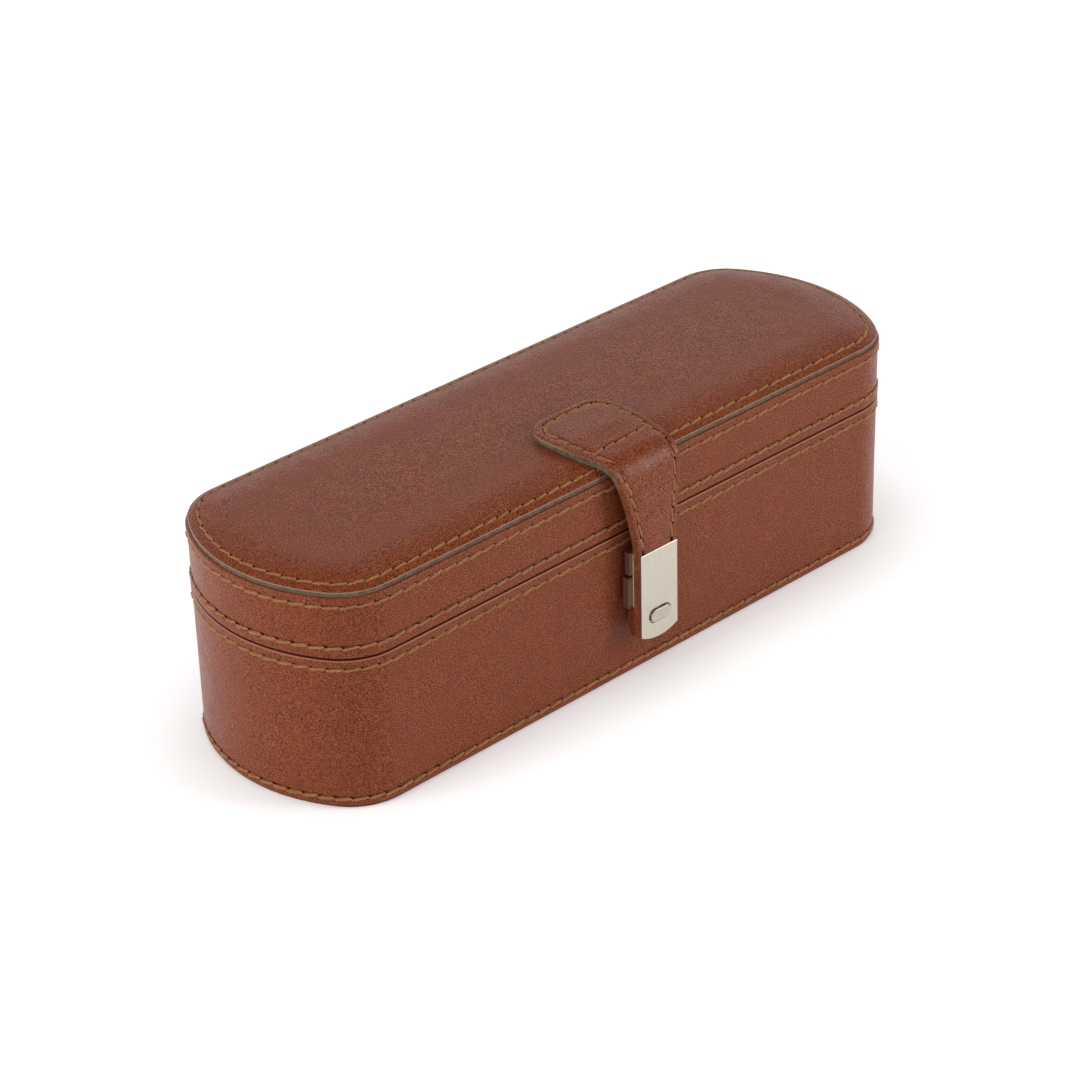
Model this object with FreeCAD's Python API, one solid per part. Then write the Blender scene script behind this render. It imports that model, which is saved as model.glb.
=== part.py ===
"""Leather watch box with bowed ends: base, hinged lid, strap with push-button lock, pillows.

Millimetres. +Z is up, X runs along the box and the strap hangs on the -Y side.
The origin is the middle of the face that the box stands on.
"""
import FreeCAD, Part
import math
import os

V = FreeCAD.Vector
UP = V(0, 0, 1)
tiny = 1e-6

# Plan of the box
length = 300.0
width = 95.0
end_radius = 66.0
corner_radius = 24.0

# Heights of the shells
base_height = 60.0
rim_gap = 0.4
lid_wall_height = 23.7

# Sheet and board thicknesses
leather = 1.2
wall_board = 5.0
floor_board = 4.0
lid_board = 4.0
lining = 0.8
bottom_panel = 1.0
glue = 0.05
turn_in = 14.0
fold_radius = 0.9
bottom_panel_inset = 1.0
lining_drop = 0.5

# Padded top panel: painted edge, rounded border up to the seam, then a gentle crown
panel_inset = 1.1
panel_edge = 1.8
border_run = 3.5
border_rise = 1.35
crown_corner = 4.6
crown_rise = 1.9
border_steps = 3
crown_steps = 3
foam_margin = 1.5

# Hinges
hinge_inset = 65.0
leaf_length = 30.0
leaf_thickness = 1.0
leaf_edge = 0.65
leaf_gap = 0.2
barrel_radius = 2.2
barrel_wall_gap = 0.35
pin_radius = 0.9
pin_snug = 0.02
pin_running = 0.06
knuckle_gap = 0.2
mortise_play = 0.15
screw_pitch = 18.0
screw_radius = 0.8
screw_head_radius = 1.5
screw_length = 9.0

# Strap
strap_thickness = 3.0
strap_clearance = 0.3
seam_inset = 8.0
seam_gap = 0.1
tab_end = 39.5
tab_half_width = 19.0
tab_corner = 10.0
tab_taper = 14.0
seam_half_width = 17.4
shoulder_half_width = 15.0
strap_half_width = 9.6
bend_radius = 7.0
bend_drop = 0.7
bend_stand = 2.5
lower_bend_radius = 15.0
lower_bend_rise = 3.0

# Lock plate and the pieces behind it; depths are distances in front of the front wall
plate_face = 9.0
plate_thickness = 0.9
plate_half_width = 9.2
plate_drop = 6.6
plate_bow = 2.4
plate_edge_radius = 0.3
backplate_thickness = 0.9
backplate_half_width = 9.4
block_half_width = 10.6
block_height = 9.2
block_step = 1.0
block_gap = 2.0
housing_half_width = 11.3
housing_height = 12.6
housing_gap = 1.6
pocket_half_width = 4.6
pocket_play = 1.5
pad_gap = 2.5
pad_chamfer = 2.2
rivet_radius = 0.8
rivet_depth = 2.0
rivet_offset = 7.0
hole_play = 0.05

# Striker on the front wall
striker_half_width = 8.0
striker_half_height = 6.0
striker_above_housing_foot = 5.2
neck_half_width = 1.6
neck_half_height = 2.2
neck_length = 2.8
head_half_width = 2.1
head_half_height = 2.7
head_thickness = 1.1
striker_screw_offset = 5.6
striker_screw_length = 5.0

# Hairpin latch spring
spring_wire = 0.6
spring_play = 0.1
spring_head_gap = 0.2
spring_hold = 2.8
spring_jog = 3.0
spring_tail = 2.4
spring_slot_play = 0.25

# Push button
button_below_housing = 4.2
plate_below_button = 9.6
button_half_length = 5.0
button_radius = 2.45
button_play = 0.65
button_proud = 0.8
button_edge_radius = 0.25
button_flange = 1.0
button_flange_thickness = 0.7
nose_radius = 2.6

# Watch places
divider_thickness = 2.4
divider_drop = 19.0
divider_corner = 6.0
pillow_count = 5
pillow_row_margin = 22.8
pillow_end_play = 4.3
pillow_drop = 8.5
pillow_side_play = 0.6
pillow_floor_play = 0.3
pillow_draw_in = 0.14
pillow_lift_in = 2.0
pillow_shoulder = 0.75
pillow_foot_inset = 13.5
pillow_brow_inset = 14.5
pillow_crown_rise = 4.0
pillow_side_bulge = 4.5

# Levels worked out from the sizes above
side_leather_bottom = bottom_panel + glue
carcass_bottom = side_leather_bottom + leather + glue
floor_top = carcass_bottom + floor_board
lining_floor = floor_top + glue + lining
carcass_rim = base_height - leather - glue
lid_bottom = base_height + rim_gap
lid_top = lid_bottom + lid_wall_height
lid_carcass_bottom = lid_bottom + leather + glue
lid_carcass_top = lid_top - leather - glue
lid_ceiling = lid_carcass_top - lid_board
panel_bottom = lid_top + glue
panel_edge_top = panel_bottom + panel_edge
seam_level = panel_edge_top + border_rise
panel_top = seam_level + crown_rise

# Insets from the outer wall
carcass_out = leather + glue
carcass_in = carcass_out + wall_board
lining_out = carcass_in + glue
lining_in = lining_out + lining
seam_line = panel_inset + border_run
crown_run = corner_radius - crown_corner - seam_line
leaf_reach = carcass_in - leaf_edge

# Hinge axis behind the back wall, level with the middle of the rim gap
hinge_y = width / 2 + barrel_wall_gap + barrel_radius
hinge_z = base_height + rim_gap / 2

# Layers of the lock, as distances in front of the front wall
plate_back = plate_face - plate_thickness
strap_back = plate_back - strap_thickness
backplate_back = strap_back - backplate_thickness

# Heights of the lock, from the plate's top down
plate_top = base_height - plate_drop
block_bottom = plate_top - block_height
housing_top = block_bottom - block_step
housing_bottom = housing_top - housing_height
striker_height = housing_bottom + striker_above_housing_foot
pocket_top = striker_height + head_half_height + pocket_play
spring_top = block_bottom + spring_hold
button_height = housing_bottom - button_below_housing
plate_bottom = button_height - plate_below_button

# Pillows share the row between the two bowed ends
place_pitch = (length - 2 * pillow_row_margin + divider_thickness) / pillow_count
pillow_width = place_pitch - divider_thickness - 2 * pillow_side_play
pillow_depth = width - 2 * lining_in - 2 * pillow_end_play
pillow_height = base_height - pillow_drop - lining_floor - pillow_floor_play
divider_height = base_height - divider_drop - lining_floor


def outline(inset, z):
    """The box's plan, drawn in by inset: two straight sides, two bowed ends, four corners."""
    corner_y = width / 2 - corner_radius
    end_x = length / 2 - end_radius
    corner_x = end_x + math.sqrt((end_radius - corner_radius) ** 2 - corner_y ** 2)
    lean = math.degrees(math.atan2(corner_y, corner_x - end_x))
    corner_r = corner_radius - inset
    end_r = end_radius - inset
    side = width / 2 - inset

    def arc(cx, cy, radius, start, stop):
        circle = Part.Circle(V(cx, cy, z), UP, radius)
        return Part.Arc(circle, math.radians(start), math.radians(stop)).toShape()

    edges = [
        Part.makeLine(V(-corner_x, -side, z), V(corner_x, -side, z)),
        arc(corner_x, -corner_y, corner_r, -90, -lean),
        arc(end_x, 0, end_r, -lean, lean),
        arc(corner_x, corner_y, corner_r, lean, 90),
        Part.makeLine(V(corner_x, side, z), V(-corner_x, side, z)),
        arc(-corner_x, corner_y, corner_r, 90, 180 - lean),
        arc(-end_x, 0, end_r, 180 - lean, 180 + lean),
        arc(-corner_x, -corner_y, corner_r, 180 + lean, 270),
    ]
    return Part.Wire(edges)


def slab(inset, z0, z1):
    return Part.Face(outline(inset, z0)).extrude(V(0, 0, z1 - z0))


def rounded_slab(inset, z0, z1, radius):
    """A slab whose upper and lower rims are rounded."""
    solid = slab(inset, z0, z1)
    rims = []
    for edge in solid.Edges:
        box = edge.BoundBox
        if box.ZLength < tiny:
            rims.append(edge)
    return solid.makeFillet(radius, rims)


def dome(rings):
    """A solid through plan outlines, each given as its inset and its height."""
    return Part.makeLoft([outline(inset, z) for inset, z in rings], True, True)


def block(x0, x1, y0, y1, z0, z1):
    return Part.makeBox(x1 - x0, y1 - y0, z1 - z0, V(x0, y0, z0))


def front(distance):
    """Y of a point at a distance in front of the front wall."""
    return -(width / 2 + distance)


def front_block(half_x, near, far, z0, z1):
    """A block centred on the strap, between two distances in front of the front wall."""
    return block(-half_x, half_x, front(far), front(near), z0, z1)


def along_y(x, z, radius, near, far):
    """A cylinder square to the front wall."""
    return Part.makeCylinder(radius, far - near, V(x, front(near), z), V(0, -1, 0))


def pill(half_length, radius, z, near, far):
    """An oblong prism square to the front wall, with round ends."""
    straight = half_length - radius
    middle = front_block(straight, near, far, z - radius, z + radius)
    ends = [along_y(sign * straight, z, radius, near, far) for sign in (-1, 1)]
    return middle.fuse(ends).removeSplitter()


def polygon(points):
    return Part.Face(Part.makePolygon([V(*p) for p in points] + [V(*points[0])]))


def screw(tip, direction, head_radius, head_depth, shank, total):
    """A countersunk screw whose flat head is at tip and whose shank runs along direction."""
    head = Part.makeCone(head_radius, shank, head_depth, tip, direction)
    body = Part.makeCylinder(shank, total - shank, tip, direction)
    point = Part.makeCone(shank, shank / 4, shank, tip + direction * (total - shank), direction)
    return head.fuse([body, point]).removeSplitter()


def bottom_panel_piece():
    return slab(bottom_panel_inset, 0, bottom_panel)


def base_filler():
    return slab(turn_in + glue, side_leather_bottom, side_leather_bottom + leather)


def skin(z0, z1, low_flange, high_flange):
    """Leather round a wall, folded in at both rims as far as the two flange insets."""
    outside = rounded_slab(0, z0, z1, fold_radius)
    hollow = slab(leather, z0 + leather, z1 - leather)
    low = slab(low_flange, z0, z0 + leather)
    high = slab(high_flange, z1 - leather, z1)
    return outside.cut(hollow).cut(low).cut(high)


def base_tub():
    outside = slab(carcass_out, carcass_bottom, carcass_rim)
    return outside.cut(slab(carcass_in, floor_top, carcass_rim))


def base_suede():
    top = base_height - lining_drop
    outside = slab(lining_out, floor_top + glue, top)
    return outside.cut(slab(lining_in, lining_floor, top))


def lid_frame():
    outside = slab(carcass_out, lid_carcass_bottom, lid_carcass_top)
    return outside.cut(slab(carcass_in, lid_carcass_bottom, lid_ceiling))


def lid_filler():
    return slab(turn_in + glue, lid_top - leather, lid_top)


def lid_suede():
    bottom = lid_bottom + lining_drop
    top = lid_ceiling - glue
    outside = slab(lining_out, bottom, top)
    return outside.cut(slab(lining_in, bottom, top - lining))


def border_rings():
    """Quarter-round border from the painted edge up to the seam."""
    rings = []
    for step in range(border_steps + 1):
        turn = math.pi / 2 * step / border_steps
        inset = panel_inset + border_run * (1 - math.cos(turn))
        rings.append((inset, panel_edge_top + border_rise * math.sin(turn)))
    return rings


def crown_rings():
    """Crown from the seam inwards, steep at first and level at the top."""
    rings = []
    for step in range(1, crown_steps + 1):
        share = step / crown_steps
        rise = crown_rise * (1 - (1 - share) ** 2)
        rings.append((seam_line + crown_run * share, seam_level + rise))
    return rings


def foam_rings(play):
    """The padding under the panel leather, grown by play for its cavity."""
    foot = seam_line + foam_margin - play
    cover = leather + glue - play
    rings = [(foot, panel_bottom + glue - play), (foot, seam_level - cover)]
    for inset, z in crown_rings():
        rings.append((inset, z - cover))
    return rings


def top_foam():
    return dome(foam_rings(0))


def top_panel():
    rings = [(panel_inset, panel_bottom)] + border_rings() + crown_rings()
    return dome(rings).cut(dome(foam_rings(glue)))


def seat_height(inset):
    """Height of the top panel's surface at an inset, on the crown inside the seam."""
    last_inset, last_z = seam_line, seam_level
    for next_inset, next_z in crown_rings():
        if inset <= next_inset:
            share = (inset - last_inset) / (next_inset - last_inset)
            return last_z + share * (next_z - last_z)
        last_inset, last_z = next_inset, next_z
    return last_z


def knuckle_spans():
    """X ranges of the three knuckles: outer ones on the base leaf, middle one on the lid leaf."""
    third = leaf_length / 3
    edge = leaf_length / 2
    half_gap = knuckle_gap / 2
    return [
        (-edge, -edge + third - half_gap),
        (-edge + third + half_gap, edge - third - half_gap),
        (edge - third + half_gap, edge),
    ]


def barrel(x0, x1, radius):
    return Part.makeCylinder(radius, x1 - x0, V(x0, hinge_y, hinge_z), V(1, 0, 0))


def leaf_levels(side):
    """Low and high Z of a leaf: side is -1 in the base rim and +1 in the lid rim."""
    near = hinge_z + side * leaf_gap / 2
    far = near + side * leaf_thickness
    return min(near, far), max(near, far)


def hinge_leaf(centre, side):
    spans = knuckle_spans()
    own = [spans[1]] if side > 0 else [spans[0], spans[2]]
    other = [spans[0], spans[2]] if side > 0 else [spans[1]]
    low, high = leaf_levels(side)
    half = leaf_length / 2
    leaf = block(-half, half, width / 2 - leaf_reach, hinge_y, low, high)
    room = barrel_radius + knuckle_gap
    for x0, x1 in other:
        leaf = leaf.cut(barrel(x0 - knuckle_gap, x1 + knuckle_gap, room))
        leaf = leaf.cut(block(x0 - knuckle_gap, x1 + knuckle_gap, hinge_y - room, hinge_y, low, high))
    leaf = leaf.fuse([barrel(x0, x1, barrel_radius) for x0, x1 in own]).removeSplitter()
    bore = pin_radius + (pin_running if side > 0 else pin_snug)
    leaf = leaf.cut(barrel(-half, half, bore))
    leaf.translate(V(centre, 0, 0))
    for cut in hinge_screws(centre, side, glue):
        leaf = leaf.cut(cut)
    return leaf


def hinge_pin(centre):
    half = leaf_length / 2
    pin = barrel(-half, half, pin_radius)
    pin.translate(V(centre, 0, 0))
    return pin


def hinge_screws(centre, side, play):
    """The two screws of one leaf, grown by play where they are used to cut their holes."""
    low, high = leaf_levels(side)
    face = low if side > 0 else high
    y = width / 2 - carcass_out - wall_board / 2
    made = []
    for sign in (-1, 1):
        tip = V(centre + sign * screw_pitch / 2, y, face)
        made.append(screw(tip, UP * side, screw_head_radius + play, leaf_thickness,
                          screw_radius + play, screw_length + play))
    return made


def mortise(centre, side):
    """Room for one leaf in a rim."""
    low, high = leaf_levels(side)
    half = leaf_length / 2 + mortise_play
    y0 = width / 2 - leaf_reach - mortise_play
    if side > 0:
        return block(centre - half, centre + half, y0, width, lid_bottom - leather, high + glue)
    return block(centre - half, centre + half, y0, width, low - glue, base_height + leather)


def hinge_centres():
    return {"left": hinge_inset - length / 2, "right": length / 2 - hinge_inset}


def hinge_cuts(side):
    cuts = []
    for centre in hinge_centres().values():
        cuts.append(mortise(centre, side))
        cuts.extend(hinge_screws(centre, side, pin_snug))
    return cuts


def seam_y():
    return -(width / 2 - seam_inset)


def strap_tab():
    """The wide end on the lid, seated on the crown and cut to its rounded plan."""
    seat = [(seam_inset, seat_height(seam_inset))]
    seat += [ring for ring in crown_rings() if seam_inset < ring[0] < tab_end]
    seat.append((tab_end, panel_top))
    under = [(0, -(width / 2 - inset), z + glue) for inset, z in seat]
    over = [(x, y, z + strap_thickness) for x, y, z in reversed(under)]
    section = polygon(under + over)
    body = section.extrude(V(2 * tab_half_width, 0, 0))
    body.translate(V(-tab_half_width, 0, 0))
    back = -(width / 2 - tab_end)
    shoulder = seam_y() + tab_taper
    right = [(tab_half_width, back), (tab_half_width, shoulder), (seam_half_width, seam_y())]
    points = right + [(-x, y) for x, y in reversed(right)]
    plan = polygon([(x, y, 0) for x, y in points]).extrude(V(0, 0, 2 * panel_top))
    corners = []
    for edge in plan.Edges:
        box = edge.BoundBox
        if box.ZLength > panel_top and box.YMax > back - tiny:
            corners.append(edge)
    plan = plan.makeFillet(tab_corner, corners)
    return body.common(plan)


def rounded_path(points, radii, shift):
    """Edges of a path in the YZ plane whose inner corners are arcs, shifted to its outer side."""
    runs = []
    for (y0, z0), (y1, z1) in zip(points, points[1:]):
        runs.append(V(0, y1 - y0, z1 - z0).normalize())
    normals = [V(0, run.z, -run.y) for run in runs]
    corners = []
    for index, radius in enumerate(radii):
        turn = runs[index].cross(runs[index + 1]).x
        angle = runs[index].getAngle(runs[index + 1])
        back = radius * math.tan(angle / 2)
        corner = V(0, *points[index + 1])
        inward = 1 if turn < 0 else -1
        centre = corner - runs[index] * back + normals[index] * radius * inward
        corners.append((centre, radius - shift * inward, inward, index))
    edges = []
    start = V(0, *points[0]) + normals[0] * shift
    for centre, radius, inward, index in corners:
        first = centre - normals[index] * radius * inward
        last = centre - normals[index + 1] * radius * inward
        middle_way = (normals[index] + normals[index + 1]).normalize()
        middle = centre - middle_way * radius * inward
        edges.append(Part.makeLine(start, first))
        edges.append(Part.Arc(first, middle, last).toShape())
        start = last
    edges.append(Part.makeLine(start, V(0, *points[-1]) + normals[-1] * shift))
    return edges


def flap_path():
    """Inner face of the strap: off the crown, round the lid's edge, down to the lock."""
    hang_y = front(strap_back)
    edge_y = front(bend_stand)
    seam_z = seat_height(seam_inset) + strap_clearance
    lift = bend_drop / (seam_y() - edge_y)
    return [
        (seam_y() + strap_thickness, seam_z + lift * strap_thickness),
        (edge_y, seam_z - bend_drop),
        (hang_y, plate_top + lower_bend_rise),
        (hang_y, plate_bottom - plate_bow),
    ]


def tongue_outline(half_width, top, bottom, bow):
    """Front view of a plate with a bowed lower end, as a face at the front wall."""
    y = front(0)
    corner = bottom + bow
    sides = [
        Part.makeLine(V(-half_width, y, corner), V(-half_width, y, top)),
        Part.makeLine(V(-half_width, y, top), V(half_width, y, top)),
        Part.makeLine(V(half_width, y, top), V(half_width, y, corner)),
        Part.Arc(V(half_width, y, corner), V(0, y, bottom), V(-half_width, y, corner)).toShape(),
    ]
    return Part.Face(Part.Wire(sides))


def tongue(half_width, top, bottom, bow, near, far):
    solid = tongue_outline(half_width, top, bottom, bow).extrude(V(0, near - far, 0))
    solid.translate(V(0, -near, 0))
    return solid


def strap_sides():
    """Front view that the hanging strap is cut to: wide at the lid's edge, narrow at the lock."""
    y = front(2 * plate_face)
    wide_z = lid_top
    narrow_z = plate_top + lower_bend_rise
    corner = plate_bottom + plate_bow
    top = 2 * panel_top
    left = [(-tab_half_width, top), (-tab_half_width, panel_top), (-shoulder_half_width, wide_z),
            (-strap_half_width, narrow_z), (-strap_half_width, corner)]
    points = left + [(-x, z) for x, z in reversed(left)]
    edges = []
    for (x0, z0), (x1, z1) in zip(points, points[1:]):
        if z0 == z1 == corner:
            low = V(0, y, plate_bottom)
            edges.append(Part.Arc(V(x0, y, z0), low, V(x1, y, z1)).toShape())
        else:
            edges.append(Part.makeLine(V(x0, y, z0), V(x1, y, z1)))
    edges.append(Part.makeLine(V(points[-1][0], y, top), V(points[0][0], y, top)))
    return Part.Face(Part.Wire(edges)).extrude(V(0, width, 0))


def strap_plan():
    """Plan that the strap is cut to between the seam and the lid's edge."""
    start = seam_y() - seam_gap
    edge = front(bend_stand)
    far = front(2 * plate_face)
    right = [(seam_half_width, start), (shoulder_half_width, edge), (shoulder_half_width, far)]
    points = right + [(-x, y) for x, y in reversed(right)]
    return polygon([(x, y, 0) for x, y in points]).extrude(V(0, 0, 2 * panel_top))


def strap_flap():
    points = flap_path()
    radii = [bend_radius, lower_bend_radius]
    inner = rounded_path(points, radii, 0)
    outer = rounded_path(points, radii, strap_thickness)
    first = Part.makeLine(outer[0].Vertexes[0].Point, inner[0].Vertexes[0].Point)
    last = Part.makeLine(inner[-1].Vertexes[-1].Point, outer[-1].Vertexes[-1].Point)
    ribbon = Part.Face(Part.Wire(Part.__sortEdges__(inner + [last] + outer + [first])))
    body = ribbon.extrude(V(2 * tab_half_width, 0, 0))
    body.translate(V(-tab_half_width, 0, 0))
    body = body.common(strap_plan()).common(strap_sides())
    room = pill(button_half_length + button_flange + button_play, button_radius + button_flange + button_play,
                button_height, 0, plate_face)
    body = body.cut(room)
    for hole in rivets(hole_play):
        body = body.cut(hole)
    return body


def lock_face():
    face = tongue(plate_half_width, plate_top, plate_bottom, plate_bow, plate_back, plate_face)
    rim = []
    for edge in face.Edges:
        box = edge.BoundBox
        if box.YLength < tiny and box.YMax < front(plate_face) + tiny:
            rim.append(edge)
    face = face.makeFillet(plate_edge_radius, rim)
    hole = pill(button_half_length + button_play, button_radius + button_play, button_height,
                0, 2 * plate_face)
    return face.cut(hole)


def rivets(play):
    """Studs from the plate's back into the metal behind the strap."""
    made = []
    for z in ((housing_bottom + housing_top) / 2, (block_bottom + plate_top) / 2):
        for sign in (-1, 1):
            near = backplate_back - rivet_depth - play
            made.append(along_y(sign * rivet_offset, z, rivet_radius + play, near, plate_back))
    return made


def backplate():
    plate = front_block(backplate_half_width, backplate_back, strap_back, housing_bottom, plate_top)
    for hole in rivets(hole_play):
        plate = plate.cut(hole)
    return plate


def spring_slot():
    """Room for the hairpin spring, open towards the wall."""
    half = neck_half_width + spring_play + spring_wire + spring_slot_play
    far = neck_length - spring_head_gap + spring_slot_play
    return front_block(half, 0, far, housing_bottom, spring_top + spring_slot_play)


def housing():
    """Catch body with a pocket for the striker, open towards the wall and downwards."""
    body = front_block(housing_half_width, housing_gap, backplate_back, housing_bottom, housing_top)
    pocket = front_block(pocket_half_width, 0, backplate_back, 0, pocket_top)
    body = body.cut(pocket).cut(spring_slot())
    for hole in rivets(hole_play):
        body = body.cut(hole)
    return body


def spring_holder():
    body = front_block(block_half_width, block_gap, backplate_back, block_bottom, plate_top)
    body = body.cut(spring_slot())
    for hole in rivets(hole_play):
        body = body.cut(hole)
    return body


def end_pad():
    """Pad behind the strap's end, grooved so that the striker's head can pass."""
    pad = tongue(strap_half_width, housing_bottom - glue, plate_bottom, plate_bow, pad_gap, strap_back)
    slope = polygon([
        (-width, front(pad_gap), plate_bottom - glue),
        (-width, front(pad_gap), plate_bottom + plate_bow + pad_chamfer),
        (-width, front(strap_back), plate_bottom - glue),
    ]).extrude(V(2 * width, 0, 0))
    groove = front_block(pocket_half_width, 0, backplate_back, 0, housing_top)
    nose = along_y(0, button_height, nose_radius + button_play, 0, plate_face)
    return pad.cut(slope).cut(groove).cut(nose)


def latch_spring():
    """Two legs that grip the striker's neck, joined above and stepped out to the button below."""
    near = neck_length - spring_head_gap - spring_wire
    far = backplate_back - glue - spring_wire
    low = button_height - spring_tail
    knee = striker_height - head_half_height - spring_head_gap
    path = [(near, spring_top), (near, knee), (far, knee - spring_jog), (far, low)]
    other = [(d + spring_wire, z) for d, z in reversed(path)]
    inner = neck_half_width + spring_play
    section = polygon([(inner, front(d), z) for d, z in path + other])
    leg = section.extrude(V(spring_wire, 0, 0))
    twin = leg.mirror(V(0, 0, 0), V(1, 0, 0))
    bridge = front_block(inner + spring_wire, near, near + spring_wire, spring_top - spring_wire, spring_top)
    return leg.fuse([twin, bridge]).removeSplitter()


def striker():
    plate = block(-striker_half_width, striker_half_width, front(0), front(-leather),
                  striker_height - striker_half_height, striker_height + striker_half_height)
    neck = front_block(neck_half_width, 0, neck_length, striker_height - neck_half_height,
                       striker_height + neck_half_height)
    head = front_block(head_half_width, neck_length, neck_length + head_thickness,
                       striker_height - head_half_height, striker_height + head_half_height)
    body = plate.fuse([neck, head]).removeSplitter()
    for cut in striker_screws(glue):
        body = body.cut(cut)
    return body


def striker_screws(play):
    made = []
    for sign in (-1, 1):
        tip = V(sign * striker_screw_offset, front(0), striker_height)
        made.append(screw(tip, V(0, 1, 0), screw_head_radius + play, leather,
                          screw_radius + play, striker_screw_length + play))
    return made


def striker_recess():
    return block(-striker_half_width - glue, striker_half_width + glue, front(leather), front(-carcass_out),
                 striker_height - striker_half_height - glue, striker_height + striker_half_height + glue)


def push_button():
    """Cap in the plate's hole, a flange that keeps it in, and a nose towards the spring."""
    cap = pill(button_half_length, button_radius, button_height, plate_back, plate_face + button_proud)
    rim = []
    for edge in cap.Edges:
        box = edge.BoundBox
        if box.YLength < tiny and box.YMax < front(plate_face):
            rim.append(edge)
    cap = cap.makeFillet(button_edge_radius, rim)
    flange_near = plate_back - glue - button_flange_thickness
    flange = pill(button_half_length + button_flange, button_radius + button_flange, button_height,
                  flange_near, plate_back - glue)
    neck = pill(button_half_length, button_radius, button_height, flange_near, plate_back)
    stem_end = backplate_back + spring_wire
    stem = along_y(0, button_height, nose_radius, stem_end, flange_near)
    tip = Part.makeCone(nose_radius, nose_radius / 2, spring_wire, V(0, front(stem_end), button_height),
                        V(0, 1, 0))
    return cap.fuse([flange, neck, stem, tip]).removeSplitter()


def divider(x):
    half = width / 2 - lining_in - glue
    board = block(x - divider_thickness / 2, x + divider_thickness / 2, -half, half,
                  lining_floor, lining_floor + divider_height)
    corners = []
    for edge in board.Edges:
        box = edge.BoundBox
        if box.XLength > divider_thickness / 2 and box.ZMin > lining_floor + divider_height - tiny:
            corners.append(edge)
    return board.makeFillet(divider_corner, corners)


def bulged(start, stop, bulge):
    """An arc that stands out from its chord by bulge, on the side away from the pillow's middle."""
    chord = stop - start
    outward = V(0, chord.z, -chord.y).normalize()
    return Part.Arc(start, (start + stop) * 0.5 + outward * bulge, stop).toShape()


def pillow_section(x, share):
    """One cross-section of a pillow: flat foot, full sides and a crowned top, drawn in at the ends."""
    draw = share ** 4
    scale = 1 - pillow_draw_in * draw
    low = lining_floor + pillow_floor_play + pillow_lift_in * draw
    high = lining_floor + pillow_floor_play + pillow_height - pillow_lift_in * draw
    half = pillow_depth / 2 * scale
    foot = half - pillow_foot_inset
    crown = half - pillow_brow_inset
    brow = high - pillow_crown_rise
    belly = (low + brow) / 2
    corners = [
        V(x, -foot, low),
        V(x, foot, low),
        V(x, half, belly),
        V(x, crown, brow),
        V(x, -crown, brow),
        V(x, -half, belly),
    ]
    sole = Part.makeLine(corners[0], corners[1])
    lower_right = bulged(corners[1], corners[2], pillow_side_bulge)
    upper_right = bulged(corners[2], corners[3], pillow_side_bulge)
    crest = bulged(corners[3], corners[4], pillow_crown_rise)
    upper_left = bulged(corners[4], corners[5], pillow_side_bulge)
    lower_left = bulged(corners[5], corners[0], pillow_side_bulge)
    return Part.Wire([sole, lower_right, upper_right, crest, upper_left, lower_left])


def pillow(centre):
    stations = (-1.0, -pillow_shoulder, 0.0, pillow_shoulder, 1.0)
    sections = [pillow_section(centre + share * pillow_width / 2, share) for share in stations]
    return Part.makeLoft(sections, True, False)


def build():
    nodes = {}
    base_skin = skin(side_leather_bottom, base_height, turn_in, carcass_in)
    tub = base_tub()
    for cut in hinge_cuts(-1):
        base_skin = base_skin.cut(cut)
        tub = tub.cut(cut)
    for cut in striker_screws(pin_snug):
        tub = tub.cut(cut)
    nodes["base_carcass"] = tub
    nodes["base_side_leather"] = base_skin.cut(striker_recess())
    nodes["base_filler_card"] = base_filler()
    nodes["base_bottom_panel"] = bottom_panel_piece()
    nodes["base_lining"] = base_suede()
    nodes["lock_striker"] = striker()
    nodes["striker_screws"] = Part.makeCompound(striker_screws(0))

    lid_skin = skin(lid_bottom, lid_top, carcass_in, turn_in)
    frame = lid_frame()
    for cut in hinge_cuts(1):
        lid_skin = lid_skin.cut(cut)
        frame = frame.cut(cut)
    nodes["lid_carcass"] = frame
    nodes["lid_side_leather"] = lid_skin
    nodes["lid_filler_card"] = lid_filler()
    nodes["lid_top_foam"] = top_foam()
    nodes["lid_top_leather"] = top_panel()
    nodes["lid_lining"] = lid_suede()
    nodes["strap_tab"] = strap_tab()

    base_screws = []
    lid_screws = []
    for name, centre in hinge_centres().items():
        nodes["hinge_" + name + "_base_leaf"] = hinge_leaf(centre, -1)
        nodes["hinge_" + name + "_lid_leaf"] = hinge_leaf(centre, 1)
        nodes["hinge_" + name + "_pin"] = hinge_pin(centre)
        base_screws.extend(hinge_screws(centre, -1, 0))
        lid_screws.extend(hinge_screws(centre, 1, 0))
    nodes["hinge_base_screws"] = Part.makeCompound(base_screws)
    nodes["hinge_lid_screws"] = Part.makeCompound(lid_screws)

    nodes["strap_flap"] = strap_flap()
    nodes["strap_end_pad"] = end_pad()
    nodes["lock_plate"] = lock_face()
    nodes["lock_backplate"] = backplate()
    nodes["catch_housing"] = housing()
    nodes["spring_block"] = spring_holder()
    nodes["latch_spring"] = latch_spring()
    nodes["lock_rivets"] = Part.makeCompound(rivets(0))
    nodes["push_button"] = push_button()

    middle = (pillow_count + 1) / 2
    for number in range(1, pillow_count + 1):
        nodes["pillow_" + str(number)] = pillow((number - middle) * place_pitch)
    for number in range(1, pillow_count):
        nodes["divider_" + str(number)] = divider((number + 0.5 - middle) * place_pitch)
    return nodes


os.makedirs("parts", exist_ok=True)
for node, shape in build().items():
    shape.exportStep("parts/" + node + ".step")
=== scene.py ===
"""Looks of the leather watch box: skins, padded panel, strap, stitching, pillows, finishes, studio.

Metres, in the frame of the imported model: X along the box, the strap on the -Y side, Z up.
"""
import math

import bmesh
import bpy
import numpy as np
from mathutils import Matrix, Vector, noise
from mathutils.bvhtree import BVHTree

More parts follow.
